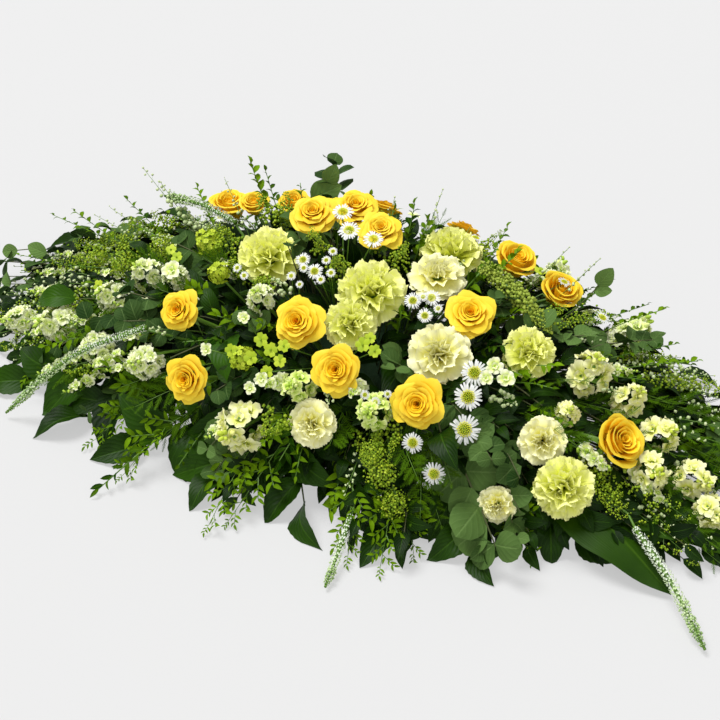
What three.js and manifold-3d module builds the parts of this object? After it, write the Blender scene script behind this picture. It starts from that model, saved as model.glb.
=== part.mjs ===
// A double-ended casket spray: cut flowers and foliage pushed into two blocks of wet floral foam
// that stand in a shallow brown moulded-fibre tray. Millimetres, +X along the spray, -Y the front,
// +Z up, with the origin in the middle of the tray's underside.
import * as THREE from 'three';
import { mergeVertices } from 'three/addons/utils/BufferGeometryUtils.js';
import Module from 'manifold-3d';

const wasm = await Module();
wasm.setup();

// Driving dimensions: the mound that the blooms make, the tray and the foam blocks.
const MOUND = { halfLength: 622, halfWidth: 270, height: 260, endTaper: 2.3, crestTaper: 1.56 };
const TRAY = { length: 500, width: 236, height: 34, wall: 3, corner: 24 };
const FOAM = { length: 236, width: 208, height: 84, bevel: 14, joint: 0.6 };
// The gap that neighbouring pieces keep to each other.
const GAP = 0.5;
// Where a stem ends inside the foam, as shares of its bloom's place, with its height there.
const ROOT = { along: 0.36, across: 0.3, height: 54, lowHeight: 46, lowBloom: 60 };
// Stem radii.
const STEM = {
  rose: 3, carnation: 2.2, stock: 2.6, daisy: 1.5, filler: 2, spike: 1.8, branch: 2.4, twig: 1.9,
};

const COLOURS = {
  rose: 0xf6c21c, lime: 0xdbe37a, cream: 0xf3efc0, stock: 0xf1efcf, daisy: 0xf4f5f0, filler: 0x9cb82c,
  spike: 0xb9c98a, salal: 0x2c5520, cover: 0x2c5520, eucalyptus: 0x5d7a5c, ruscus: 0x3f6b2a,
  tray: 0x7a4a2a, foam: 0x2f5a34,
};

const v3 = (x, y, z) => new THREE.Vector3(x, y, z);
const UP = v3(0, 0, 1);

// Seeded draws, so that every build gives the same spray.
function draws(seed) {
  let state = seed * 7919 + 17;
  return () => {
    state = (state * 1103515245 + 12345) % 2147483648;
    return state / 2147483648;
  };
}

// A closed three.js geometry as a solid: shared vertices merged, empty triangles dropped, and the
// faces turned outwards.
function solidOf(geometry) {
  const bare = new THREE.BufferGeometry().setAttribute('position', geometry.getAttribute('position'));
  if (geometry.index) bare.setIndex(geometry.index);
  const merged = mergeVertices(bare, 1e-3);
  const vertProperties = new Float32Array(merged.attributes.position.array);
  const corners = [];
  for (let i = 0; i < merged.index.count; i += 3) {
    const [a, b, c] = merged.index.array.slice(i, i + 3);
    if (a !== b && b !== c && a !== c) corners.push(a, b, c);
  }
  const wrap = (triVerts) => new wasm.Manifold(
    new wasm.Mesh({ numProp: 3, vertProperties, triVerts: new Uint32Array(triVerts) }));
  const solid = wrap(corners);
  return solid.volume() > 0 ? solid : wrap(corners.reverse());
}

function geometryOf(solid) {
  const { numVert, numProp, vertProperties, triVerts } = solid.getMesh();
  const places = new Float32Array(numVert * 3);
  for (let i = 0; i < numVert; i++) {
    places.set(vertProperties.subarray(i * numProp, i * numProp + 3), i * 3);
  }
  const geometry = new THREE.BufferGeometry();
  geometry.setAttribute('position', new THREE.BufferAttribute(places, 3));
  geometry.setIndex(new THREE.BufferAttribute(new Uint32Array(triVerts), 1));
  geometry.computeVertexNormals();
  return geometry;
}

const fuse = (solids) => solids.reduce((all, one) => all.add(one));

// Moves each vertex of a geometry to the place that a formula gives for it and its uv coordinates.
function shaped(geometry, place) {
  const spots = geometry.getAttribute('position');
  const uv = geometry.getAttribute('uv');
  for (let i = 0; i < spots.count; i++) {
    const p = place(v3().fromBufferAttribute(spots, i), uv.getX(i), uv.getY(i));
    spots.setXYZ(i, p.x, p.y, p.z);
  }
  return geometry;
}

// Stands a shape made round +Z at a place, facing a direction, turned by spin.
function stood(solid, place, facing, spin) {
  const turn = new THREE.Quaternion().setFromUnitVectors(UP, facing);
  turn.multiply(new THREE.Quaternion().setFromAxisAngle(UP, spin));
  return solid.transform(new THREE.Matrix4().compose(place, turn, v3(1, 1, 1)).elements);
}

// A three-sided stem along a smooth path, in straight steps. Its grown outline starts a little
// before the stem does.
function stem(points, radius, grow = 0, steps = 2) {
  const outline = new THREE.Shape([0, 1, 2].map((i) => new THREE.Vector2(radius + grow, 0)
    .rotateAround(new THREE.Vector2(), (i / 3) * 2 * Math.PI)));
  const swept = (extrudePath, count) =>
    solidOf(new THREE.ExtrudeGeometry(outline, { extrudePath, steps: count, bevelEnabled: false }));
  const start = points[0].clone().add(points[0].clone().sub(points[1]).setLength(grow));
  if (points.length === 2) return swept(new THREE.LineCurve3(start, points[1]), 1);
  const whole = swept(new THREE.CatmullRomCurve3(points), steps);
  if (!grow) return whole;
  return whole.add(swept(new THREE.LineCurve3(start, points[0].clone().lerp(points[1], 0.1)), 1));
}

// A leaf: a sphere of four columns pressed to a thin blade with a rib down its middle. middle(t) is
// the rib's line, half(t) the half width, and hang how far the edges sit off the rib. The grown
// outline has eight columns, which keep its edges blunt.
function blade({ middle, half, side, hang, stations, thick }, grow = 0) {
  const step = 0.02;
  const sphere = new THREE.SphereGeometry(1, grow ? 8 : 4, stations);
  return solidOf(shaped(sphere, (p) => {
    const t = Math.acos(THREE.MathUtils.clamp(p.y, -1, 1)) / Math.PI;
    const along = middle(Math.min(1, t + step)).sub(middle(Math.max(0, t - step))).normalize();
    const across = side.clone().addScaledVector(along, -side.dot(along)).normalize();
    const normal = across.clone().cross(along);
    const spot = middle(t).addScaledVector(along, (t - 0.5) * 2 * grow);
    const ring = Math.sin(t * Math.PI);
    if (ring < 1e-3) return spot;
    const onRib = Math.abs(p.x / ring) < 0.1;
    const face = Math.abs(p.z / ring) < 0.1 ? 0 : Math.sign(p.z);
    const reach = onRib ? 0 : Math.sign(p.x) * (half(t) + (face ? 0 : grow));
    spot.addScaledVector(across, reach).addScaledVector(normal, Math.abs(reach) * hang);
    return spot.addScaledVector(normal, face * (onRib ? thick / 2 + grow : grow));
  }));
}

// A bloom or bud turned on a lathe in rings from the stem end to the tip. A ring has its radius r
// and height z as shares of the bloom's radius, lobes of a depth that start at a turn, and fewer
// corners where the form is small.
function whorl(rings, sides, scale, grow = 0) {
  const profile = rings.map(({ r, z }) => new THREE.Vector2(r, z));
  const outside = grow ? 1 / Math.cos(Math.PI / sides) : 1;
  return solidOf(shaped(new THREE.LatheGeometry(profile, sides), (p, u, v) => {
    const ring = rings[Math.round(v * (rings.length - 1))];
    const { r, z, lobes = 0, depth = 0, turn = 0, corners = sides } = ring;
    const angle = (Math.round(u * corners) / corners) * 2 * Math.PI;
    const wave = lobes ? depth * Math.cos(lobes * angle + turn) : 0;
    const reach = r ? (r * scale * (1 + wave) + grow) * outside : 0;
    return v3(reach * Math.cos(angle), reach * Math.sin(angle), (z + wave * r * 0.5) * scale);
  }));
}

// The mound's outward direction at a place, which a bloom there faces.
function outward(p) {
  const { halfLength, halfWidth, height } = MOUND;
  const level = Math.max(20, p.z);
  return v3(p.x / halfLength ** 2, p.y / halfWidth ** 2, level / height ** 2).normalize();
}

function rootOf(p) {
  return v3(p.x * ROOT.along, p.y * ROOT.across, p.z > ROOT.lowBloom ? ROOT.height : ROOT.lowHeight);
}

// The stem that carries a bloom, or the forked stem of a spray. Each ends a little inside its head.
function stems(places, radius, sink, grow) {
  const centre = places.reduce((sum, p) => sum.add(p), v3()).divideScalar(places.length);
  const root = rootOf(centre);
  const necks = places.map((p) => p.clone().addScaledVector(outward(p), -sink));
  if (places.length === 1) return [stem([root, necks[0]], radius, grow)];
  const fork = root.clone().lerp(centre, 0.55);
  const start = fork.clone().lerp(root, 0.1);
  return [stem([root, fork], radius, grow), ...necks.map((neck) => stem([start, neck], radius * 0.75, grow))];
}

// A bloom's rings, and the plain outline in which it keeps clear of its neighbours.
const hull = (...corners) => corners.map(([r, z]) => ({ r, z }));
const HULL_SIDES = 8;
function bloom(rings, outline, sides) {
  return (place, radius, grow) => {
    const head = grow ? whorl(outline, HULL_SIDES, radius, grow) : whorl(rings, sides(radius), radius);
    return stood(head, place, outward(place), draws(Math.round(Math.abs(place.x)))() * 6);
  };
}

// Rose: a low ring of five outer petals that roll out, a second ring set between them, and the
// three-petalled swirls of the heart, each ring notched where its petals part.
const NOTCH = Math.PI;
const BETWEEN = Math.PI / 3;
const LARGE_ROSE = 29.5;
const rose = bloom([
  { r: 0, z: -0.2 },
  { r: 0.3, z: -0.12, corners: 5 },
  { r: 0.98, z: 0.16, lobes: 5, depth: 0.11, turn: NOTCH },
  { r: 0.68, z: 0.26 },
  { r: 0.82, z: 0.5, lobes: 5, depth: 0.1, turn: BETWEEN },
  { r: 0.5, z: 0.44 },
  { r: 0.58, z: 0.72, lobes: 3, depth: 0.1, turn: 1.4 },
  { r: 0.27, z: 0.54, corners: 5 },
  { r: 0.3, z: 0.84, corners: 5 },
  { r: 0, z: 0.62 },
], hull([0, -0.3], [0.4, -0.2], [1.1, 0.1], [1.08, 0.36], [0.62, 0.86], [0, 0.88]),
(radius) => (radius > LARGE_ROSE ? 15 : 10));

// Carnation: a green calyx under three tiers of frilled, toothed petals.
const carnation = bloom([
  { r: 0, z: -0.62 },
  { r: 0.28, z: -0.1, corners: 6 },
  { r: 1.0, z: 0.02, lobes: 6, depth: 0.1 },
  { r: 0.66, z: 0.14 },
  { r: 0.84, z: 0.36, lobes: 6, depth: 0.12, turn: NOTCH },
  { r: 0.42, z: 0.34 },
  { r: 0.54, z: 0.62, lobes: 6, depth: 0.14 },
  { r: 0, z: 0.5 },
], hull([0, -0.66], [0.4, -0.16], [1.12, -0.04], [0.98, 0.44], [0.55, 0.72], [0, 0.7]), () => 12);

// Stock and snapdragon: a stem's tip with its florets in whorls of five, each set between the
// florets of the whorl below.
const stock = bloom([
  { r: 0, z: -0.8 },
  { r: 0.92, z: -0.3, lobes: 5, depth: 0.26, turn: NOTCH },
  { r: 0.5, z: -0.22 },
  { r: 0.94, z: 0.14, lobes: 5, depth: 0.26 },
  { r: 0.4, z: 0.24, corners: 5 },
  { r: 0.66, z: 0.58, lobes: 5, depth: 0.28, turn: NOTCH },
  { r: 0, z: 0.86 },
], hull([0, -0.85], [0.9, -0.6], [1.24, -0.24], [1.24, 0.26], [0.9, 0.74], [0, 0.96]), () => 10);

// Daisy: a domed eye with a flat ring of rays.
const daisy = bloom([
  { r: 0, z: -0.3 },
  { r: 0.86, z: 0.06, lobes: 6, depth: 0.26 },
  { r: 0.36, z: 0.1, corners: 6 },
  { r: 0, z: 0.36 },
], hull([0, -0.36], [0.4, -0.24], [1.12, -0.04], [1.12, 0.26], [0, 0.5]), () => 12);

// Snowball and lady's mantle: a dense ball whose florets stand out in alternate rows.
const BALL_HULL = hull([0, -1.1], [0.6, -1.0], [1.1, -0.5], [1.1, 0.5], [0.6, 1.0], [0, 1.1]);
const BALL = { around: 8, rows: 5, out: 1.02, in: 0.74 };
function floretBall(place, radius, grow) {
  if (grow) return stood(whorl(BALL_HULL, HULL_SIDES, radius, grow), place, outward(place), 0);
  const ball = shaped(new THREE.SphereGeometry(1, BALL.around, BALL.rows), (p, u, v) => {
    const row = Math.round(v * BALL.rows);
    const standsOut = row === 0 || row === BALL.rows || (Math.round(u * BALL.around) + row) % 2;
    return p.clone().multiplyScalar(radius * (standsOut ? BALL.out : BALL.in));
  });
  return stood(solidOf(ball), place, outward(place), 0);
}

// Veronica and goldenrod: a long tapering spike whose tiny florets stand out all round it.
const SPIKE = { around: 6, rowPitch: 2.05, out: 1.08, in: 0.62 };
function spike(points, radius, grow) {
  const curve = new THREE.CatmullRomCurve3(points);
  const rows = Math.max(8, Math.round(curve.getLength() / (radius * SPIKE.rowPitch)));
  const profile = Array.from({ length: rows + 1 }, (_, i) => new THREE.Vector2(i && i < rows ? 1 : 0, i));
  const { tangents, normals, binormals } = curve.computeFrenetFrames(rows, false);
  return solidOf(shaped(new THREE.LatheGeometry(profile, SPIKE.around), (p, u, v) => {
    const row = Math.round(v * rows);
    const spot = curve.getPointAt(row / rows);
    if (row === 0 || row === rows) return spot.addScaledVector(tangents[row], row ? grow : -grow);
    const taper = Math.min(1, 0.62 + row / rows, 2.6 * (1 - row / rows) ** 0.75);
    const standsOut = grow || (Math.round(u * SPIKE.around) + row) % 2 === 0;
    const reach = radius * taper * (standsOut ? SPIKE.out : SPIKE.in) + grow;
    const angle = u * 2 * Math.PI;
    return spot.addScaledVector(normals[row], Math.cos(angle) * reach)
      .addScaledVector(binormals[row], Math.sin(angle) * reach);
  }));
}

// Leaves by kind: length, width, how far the edges sit off the rib, the arch of the rib, how pointed
// the outline is, the angle at which a leaf leaves its stem, and how many grow on one. The cover
// leaves are salal too, larger than life, because a few of them hide the foam under the blooms.
const LEAVES = {
  salal: { long: 108, wide: 60, hang: -0.16, arch: 0.14, point: 0.7, angle: 0.85, count: 3 },
  cover: { long: 130, wide: 92, hang: -0.16, arch: 0.1, point: 0.7, angle: 0.85, count: 3 },
  eucalyptus: { long: 50, wide: 46, hang: 0.12, arch: 0.1, point: 0.5, angle: 1.0, count: 5 },
  ruscus: { long: 34, wide: 12, hang: 0.1, arch: 0.12, point: 0.8, angle: 0.7, count: 6 },
};
const LEAF = { stations: 3, thick: 1.2, firstAt: 0.25, lastAt: 0.98, shrink: 0.3 };

function leaf({ kind, from, reach, size }, grow = 0) {
  const { long, wide, hang, arch, point } = LEAVES[kind];
  const length = long * size;
  const middle = (t) => from.clone().addScaledVector(reach, length * t - 1)
    .add(v3(0, 0, length * arch * Math.sin(Math.PI * t)));
  const half = (t) => ((wide * size) / 2) * Math.sin(Math.PI * t ** 0.85) ** point;
  const side = reach.clone().cross(UP).normalize();
  return blade({ middle, half, side, hang, stations: LEAF.stations, thick: LEAF.thick }, grow);
}

// Leaves in turn on the two sides of a stem, from partway up it to its tip.
function leavesAlong(points, steps, kind) {
  const ends = new THREE.CatmullRomCurve3(points).getSpacedPoints(steps);
  const { angle, count } = LEAVES[kind];
  return Array.from({ length: count }, (_, i) => {
    const atTip = i === count - 1;
    const at = (LEAF.firstAt + ((LEAF.lastAt - LEAF.firstAt) * i) / (count - 1)) * steps;
    const step = Math.floor(at);
    const ahead = ends[step + 1].clone().sub(ends[step]).normalize();
    const side = ahead.clone().cross(UP).normalize().multiplyScalar(i % 2 ? 1 : -1);
    const turned = ahead.clone().multiplyScalar(Math.cos(angle)).addScaledVector(side, Math.sin(angle));
    const from = ends[step].clone().lerp(ends[step + 1], at - step);
    return { kind, from, reach: atTip ? ahead : turned, size: 1 - (LEAF.shrink * i) / count };
  });
}

// Every plant is a name, a colour, a function that makes its stems and blooms, grown by a margin and
// shifted where they can be bent clear, and a function that lists its leaves.
const plants = [];
const plant = (name, colour, make, leaves = () => []) => plants.push({ name, colour, make, leaves });

function headed(name, colour, head, stemRadius, sink, heads) {
  const places = heads.map(([x, y, z]) => v3(x, y, z));
  const depth = sink * Math.min(...heads.map((one) => one[3]));
  plant(name, colour, (grow) => [
    ...stems(places, stemRadius, depth, grow),
    ...places.map((p, i) => head(p, heads[i][3], grow)),
  ]);
}

// Blooms as [x, y, z, radius]. Those of one branching stem are together.
const ROSES = {
  rose_front_1: [[-180, -145, 165, 30]],
  rose_front_2: [[-130, -210, 120, 30]],
  rose_front_3: [[-10, -142, 198, 32]],
  rose_front_4: [[60, -174, 172, 31]],
  rose_front_5: [[165, -170, 155, 32]],
  rose_front_6: [[172, -42, 202, 31]],
  rose_front_7: [[382, -82, 112, 31]],
  rose_spray_top: [[-82, 28, 236, 27], [-44, 74, 230, 28], [14, 32, 238, 24]],
  rose_spray_left: [[-150, 98, 200, 21], [-214, 100, 180, 20], [-275, 132, 140, 29]],
  rose_spray_right: [[160, 132, 176, 28], [230, 112, 162, 27]],
  rose_spray_back: [[-62, 192, 158, 28], [52, 204, 148, 28]],
};
const LIME_CARNATIONS = {
  carnation_lime_1: [[-112, -42, 218, 39]],
  carnation_lime_2: [[50, -70, 228, 40], [44, -118, 205, 30]],
  carnation_lime_3: [[250, -34, 178, 31]],
  carnation_lime_4: [[352, -162, 86, 34]],
  carnation_lime_5: [[90, 94, 208, 38]],
  carnation_lime_6: [[-150, 182, 150, 34]],
};
const CREAM_CARNATIONS = {
  carnation_cream_1: [[106, 4, 226, 30], [160, -106, 188, 32]],
  carnation_cream_2: [[45, -222, 116, 25]],
  carnation_cream_3: [[310, -132, 124, 24], [285, -206, 68, 19]],
};
const STOCKS = {
  stock_left_1: [[-392, -140, 78, 24], [-470, -122, 48, 19]],
  stock_left_2: [[-276, -82, 158, 21], [-228, -88, 174, 16], [-316, -112, 128, 20]],
  stock_left_3: [[-208, -200, 112, 21], [-296, -182, 92, 21]],
  snapdragon_front_1: [[-48, -238, 88, 27]],
  snapdragon_front_2: [[16, -200, 150, 19], [118, -196, 146, 21]],
  stock_right_1: [[320, -8, 150, 25], [322, -84, 138, 14]],
  stock_right_2: [[376, -8, 126, 20], [424, -28, 102, 22], [432, -84, 86, 22]],
  stock_right_3: [[478, -52, 68, 22], [512, -80, 54, 19]],
  stock_middle: [[-78, -122, 205, 17]],
  stock_back: [[190, 196, 122, 26], [330, 128, 118, 26]],
};
const DAISIES = {
  daisy_top: [
    [-36, 22, 262, 13], [-8, -14, 262, 13], [24, -10, 256, 12], [-44, -70, 240, 9], [-20, -84, 238, 10],
  ],
  daisy_middle: [[106, -66, 222, 10], [124, -50, 222, 10], [128, -78, 214, 9]],
  daisy_right: [
    [212, -116, 181, 15], [216, -142, 164, 16], [226, -172, 140, 17], [174, -204, 124, 12], [208, -216, 98, 13],
  ],
};
const FILLERS = {
  snowball: [[-210, -28, 196, 19], [-152, -98, 206, 15], [-66, -190, 160, 17]],
  mantle_front: [[134, -232, 112, 18], [148, -236, 92, 22], [170, -246, 60, 20]],
  mantle_left: [[-398, -22, 114, 25], [-336, -48, 138, 25], [-288, -20, 160, 22]],
};
function headedAll(list, ...kind) {
  for (const [name, heads] of Object.entries(list)) headed(name, ...kind, heads);
}
headedAll(ROSES, COLOURS.rose, rose, STEM.rose, 0.1);
headedAll(LIME_CARNATIONS, COLOURS.lime, carnation, STEM.carnation, 0.5);
headedAll(CREAM_CARNATIONS, COLOURS.cream, carnation, STEM.carnation, 0.5);
headedAll(STOCKS, COLOURS.stock, stock, STEM.stock, 0.55);
headedAll(DAISIES, COLOURS.daisy, daisy, STEM.daisy, 0.1);
headedAll(FILLERS, COLOURS.filler, floretBall, STEM.filler, 0.7);

// Spikes: the places that the stem passes on its way from the foam, then the spike's own line.
const SPIKES = {
  veronica_right: { radius: 7, way: [[392, -118, 56]], line: [[436, -146, 50], [498, -196, 34], [562, -258, 9]] },
  veronica_front: { radius: 6, way: [[96, -170, 50]], line: [[122, -262, 34], [130, -312, 18], [138, -360, 7]] },
  veronica_left: { radius: 6.5, way: [], line: [[-214, -176, 150], [-304, -222, 104], [-392, -262, 9]] },
  veronica_top: { radius: 7, way: [], line: [[-196, 20, 204], [-262, 42, 202], [-336, 62, 186]] },
  goldenrod_right: { radius: 9, way: [], line: [[146, 58, 214], [206, 26, 206], [266, -2, 184]] },
};
for (const [name, { radius, way, line }] of Object.entries(SPIKES)) {
  const points = line.map((p) => v3(...p));
  const carried = [...way.map((p) => v3(...p)), points[0].clone().lerp(points[1], 0.06)];
  const route = [rootOf(carried[0]), ...carried];
  plant(name, COLOURS.spike, (grow) => [stem(route, STEM.spike, grow, 3), spike(points, radius, grow)]);
}

// Leafy branches: a way out of the foam that forks to its tips. Low tips lie just above the surface
// at the mound's outline, and high ones just inside its dome.
const outlineAt = (x) => MOUND.halfWidth * (1 - Math.abs(x / MOUND.halfLength) ** MOUND.endTaper) ** 0.6;
const crestAt = (x) => MOUND.height * (1 - Math.abs(x / MOUND.halfLength) ** MOUND.crestTaper);
const low = (side, ...xs) => xs.map((x) => v3(x, side * 0.98 * outlineAt(x), 10));
const high = (side, x, lean) => v3(x, side * lean * outlineAt(x), 0.84 * crestAt(x) * Math.sqrt(1 - lean * lean));
const BRANCHES = {
  salal_front_1: { kind: 'salal', fork: v3(-190, -116, 50), tips: low(-1, -530, -400, -290) },
  salal_front_2: { kind: 'salal', fork: v3(-40, -124, 48), tips: low(-1, -190, -70, 50) },
  salal_front_3: { kind: 'salal', fork: v3(180, -116, 50), tips: low(-1, 160, 280, 400) },
  salal_back_1: { kind: 'salal', fork: v3(-190, 116, 50), tips: low(1, -530, -410, -300) },
  salal_back_2: { kind: 'salal', fork: v3(0, 124, 48), tips: low(1, -170, -50, 70) },
  salal_back_3: { kind: 'salal', fork: v3(200, 116, 50), tips: low(1, 210, 370, 520) },
  salal_high_1: { kind: 'cover', fork: v3(-60, -30, 112), tips: [high(-1, -380, 0.5), high(-1, -170, 0.74)] },
  salal_high_2: { kind: 'cover', fork: v3(-50, 40, 112), tips: [high(1, -340, 0.5), high(1, -150, 0.74)] },
  salal_high_3: {
    kind: 'cover', fork: v3(60, 20, 112), tips: [high(-1, 200, 0.7), high(-1, 320, 0.4), high(1, 160, 0.7)],
  },
  eucalyptus_top: { kind: 'eucalyptus', fork: v3(-70, 84, 150), tips: [v3(-106, 128, 262)] },
  eucalyptus_front: { kind: 'eucalyptus', fork: v3(150, -100, 90), tips: [v3(300, -240, 40)] },
  eucalyptus_left: { kind: 'eucalyptus', fork: v3(-250, -20, 90), tips: [v3(-590, 0, 40)] },
  eucalyptus_right: { kind: 'eucalyptus', fork: v3(240, 40, 90), tips: [v3(590, 10, 40), v3(370, 90, 150)] },
  ruscus_front: { kind: 'ruscus', fork: v3(-110, -124, 52), tips: [v3(-196, -338, 8)] },
  ruscus_back: { kind: 'ruscus', fork: v3(110, 124, 52), tips: [v3(196, 330, 8)] },
};
const BRANCH = { rootAlong: 0.6, rootAcross: 0.42, rootHeight: 50, bow: 16, steps: 2 };
for (const [name, { kind, fork, tips }] of Object.entries(BRANCHES)) {
  const root = v3(fork.x * BRANCH.rootAlong, fork.y * BRANCH.rootAcross, BRANCH.rootHeight);
  const routes = (shift) => tips.map((tip) => {
    const moved = fork.clone().add(shift);
    const bow = moved.clone().lerp(tip, 0.5).add(v3(0, 0, BRANCH.bow)).add(shift);
    return [moved.clone().lerp(root, 0.12), bow, tip];
  });
  const make = (grow, shift) => [
    stem([root, fork.clone().add(shift)], STEM.branch, grow),
    ...routes(shift).map((route) => stem(route, STEM.twig, grow, BRANCH.steps)),
  ];
  const leaves = (shift) => routes(shift).flatMap((route) => leavesAlong(route, BRANCH.steps, kind));
  plant(name, COLOURS[kind], make, leaves);
}

// Aspidistra: two broad blades on their own stalks.
const ASPIDISTRA = { fork: v3(286, -96, 46), tips: [v3(500, -190, 7), v3(590, -84, 7)], wide: 82, arch: 12 };
plant('aspidistra', COLOURS.salal, (grow) => {
  const { fork, tips, wide, arch } = ASPIDISTRA;
  const root = v3(fork.x * 0.66, fork.y * 0.4, ROOT.lowHeight);
  const blades = tips.map((tip) => {
    const run = tip.clone().sub(fork);
    const middle = (t) => fork.clone().addScaledVector(run, t * 1.02 - 0.02)
      .add(v3(0, 0, arch * Math.sin(Math.PI * t)));
    const half = (t) => (wide / 2) * Math.sin(Math.PI * t ** 0.9) ** 0.9 + 1.2;
    const side = run.clone().cross(UP).normalize();
    return blade({ middle, half, side, hang: -0.14, stations: 6, thick: 1.4 }, grow);
  });
  return [stem([root, fork], STEM.branch, grow), ...blades];
});

// A block with round corners, for the tray and its inside.
function block(length, width, corner, from, to) {
  const outline = new THREE.Shape();
  const [x, y] = [length / 2 - corner, width / 2 - corner];
  outline.absarc(x, y, corner, 0, Math.PI / 2);
  outline.absarc(-x, y, corner, Math.PI / 2, Math.PI);
  outline.absarc(-x, -y, corner, Math.PI, 1.5 * Math.PI);
  outline.absarc(x, -y, corner, 1.5 * Math.PI, 2 * Math.PI);
  const slab = new THREE.ExtrudeGeometry(outline, { depth: to - from, bevelEnabled: false, curveSegments: 1 });
  return solidOf(slab.translate(0, 0, from));
}

function trayShell() {
  const { length, width, height, wall, corner } = TRAY;
  const inside = block(length - 2 * wall, width - 2 * wall, corner - wall, wall, height + 1);
  return block(length, width, corner, 0, height).subtract(inside);
}

// A foam block: square below, with its two long top edges shaved off.
function foamBlock(side) {
  const { length, width, height, bevel, joint } = FOAM;
  const half = width / 2;
  const section = new THREE.Shape([
    [-half, 0], [half, 0], [half, height - bevel], [half - bevel, height],
    [bevel - half, height], [-half, height - bevel],
  ].map((corner) => new THREE.Vector2(...corner)));
  const bar = new THREE.ExtrudeGeometry(section, { depth: length, bevelEnabled: false });
  bar.rotateX(Math.PI / 2).rotateZ(Math.PI / 2);
  return solidOf(bar.translate(side > 0 ? joint / 2 : -length - joint / 2, 0, TRAY.wall + GAP));
}

// What is placed keeps the later pieces clear of it.
const placed = [];
const claim = (owner, solid) => placed.push({ owner, solid, box: solid.boundingBox() });
const boxesMeet = (a, b) => [0, 1, 2].every((i) => a.min[i] <= b.max[i] && b.min[i] <= a.max[i]);
const near = (solid, owner) => {
  const box = solid.boundingBox();
  return placed.filter((one) => one.owner !== owner && boxesMeet(box, one.box));
};
const crosses = (solid, owner) => near(solid, owner).some((one) => !solid.intersect(one.solid).isEmpty());
const largest = (solid) => solid.decompose().reduce((best, body) => (body.volume() > best.volume() ? body : best));

// Ways to shift a branch's fork, the smallest first.
const SHIFTS = [v3(), ...[14, 28, 42].flatMap((far) => [
  [1, 0, 0], [-1, 0, 0], [0, 0, 1], [0, 1, 0], [0, -1, 0], [1, 0, 0.6], [-1, 0, 0.6],
].map((way) => v3(...way).multiplyScalar(far)))];

// Ways to turn a leaf sideways and to tilt it, the smallest first.
const TURNS = [0, 0.3, -0.3, 0.6, -0.6, 0.95, -0.95];
const TILTS = [0, 0.3, -0.3, 0.6, -0.6];
const LEAST_HEIGHT = 4;

function bentClear(request, owner) {
  for (const turn of TURNS) {
    for (const tilt of TILTS) {
      const reach = request.reach.clone().applyAxisAngle(UP, turn).add(v3(0, 0, tilt)).normalize();
      const bent = { ...request, reach };
      const tipHeight = bent.from.z + LEAVES[bent.kind].long * bent.size * reach.z;
      if (tipHeight > LEAST_HEIGHT && !crosses(leaf(bent), owner)) return bent;
    }
  }
  return null;
}

// Stems and blooms first: each is shifted, or else cut, clear of those before it.
const foams = { foam_left: foamBlock(-1), foam_right: foamBlock(1) };
const outlines = [];
for (const one of plants) {
  const shift = SHIFTS.find((move) => !crosses(fuse(one.make(0, move)), one.name)) ?? SHIFTS[0];
  const whole = fuse(one.make(0, shift));
  one.solid = largest(near(whole, one.name).reduce((rest, other) => rest.subtract(other.solid), whole));
  one.requests = one.leaves(shift);
  outlines.push(fuse(one.make(GAP, shift)));
  claim(one.name, outlines.at(-1));
}

// Then the leaves, bent clear of every stem, bloom and other plant's leaf, and of the tray and foam.
claim('tray', block(TRAY.length, TRAY.width, TRAY.corner, 0, TRAY.height));
Object.entries(foams).forEach(([name, solid]) => claim(name, solid));
for (const one of plants) {
  for (const request of one.requests) {
    const bent = bentClear(request, one.name);
    if (!bent) continue;
    one.solid = one.solid.add(leaf(bent));
    claim(one.name, leaf(bent, GAP));
  }
}

const spray = new THREE.Group();
function show(name, color, roughness, solid) {
  const material = new THREE.MeshStandardMaterial({ color, roughness, metalness: 0 });
  const mesh = new THREE.Mesh(geometryOf(solid), material);
  mesh.name = name;
  spray.add(mesh);
}

show('tray', COLOURS.tray, 0.9, trayShell());
const holes = fuse(outlines);
for (const [name, solid] of Object.entries(foams)) show(name, COLOURS.foam, 0.95, solid.subtract(holes));
for (const { name, colour, solid } of plants) show(name, colour, 0.7, solid);

export default spray;
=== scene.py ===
import math
import random

import bmesh
import bpy
from mathutils import Matrix, Vector


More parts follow.
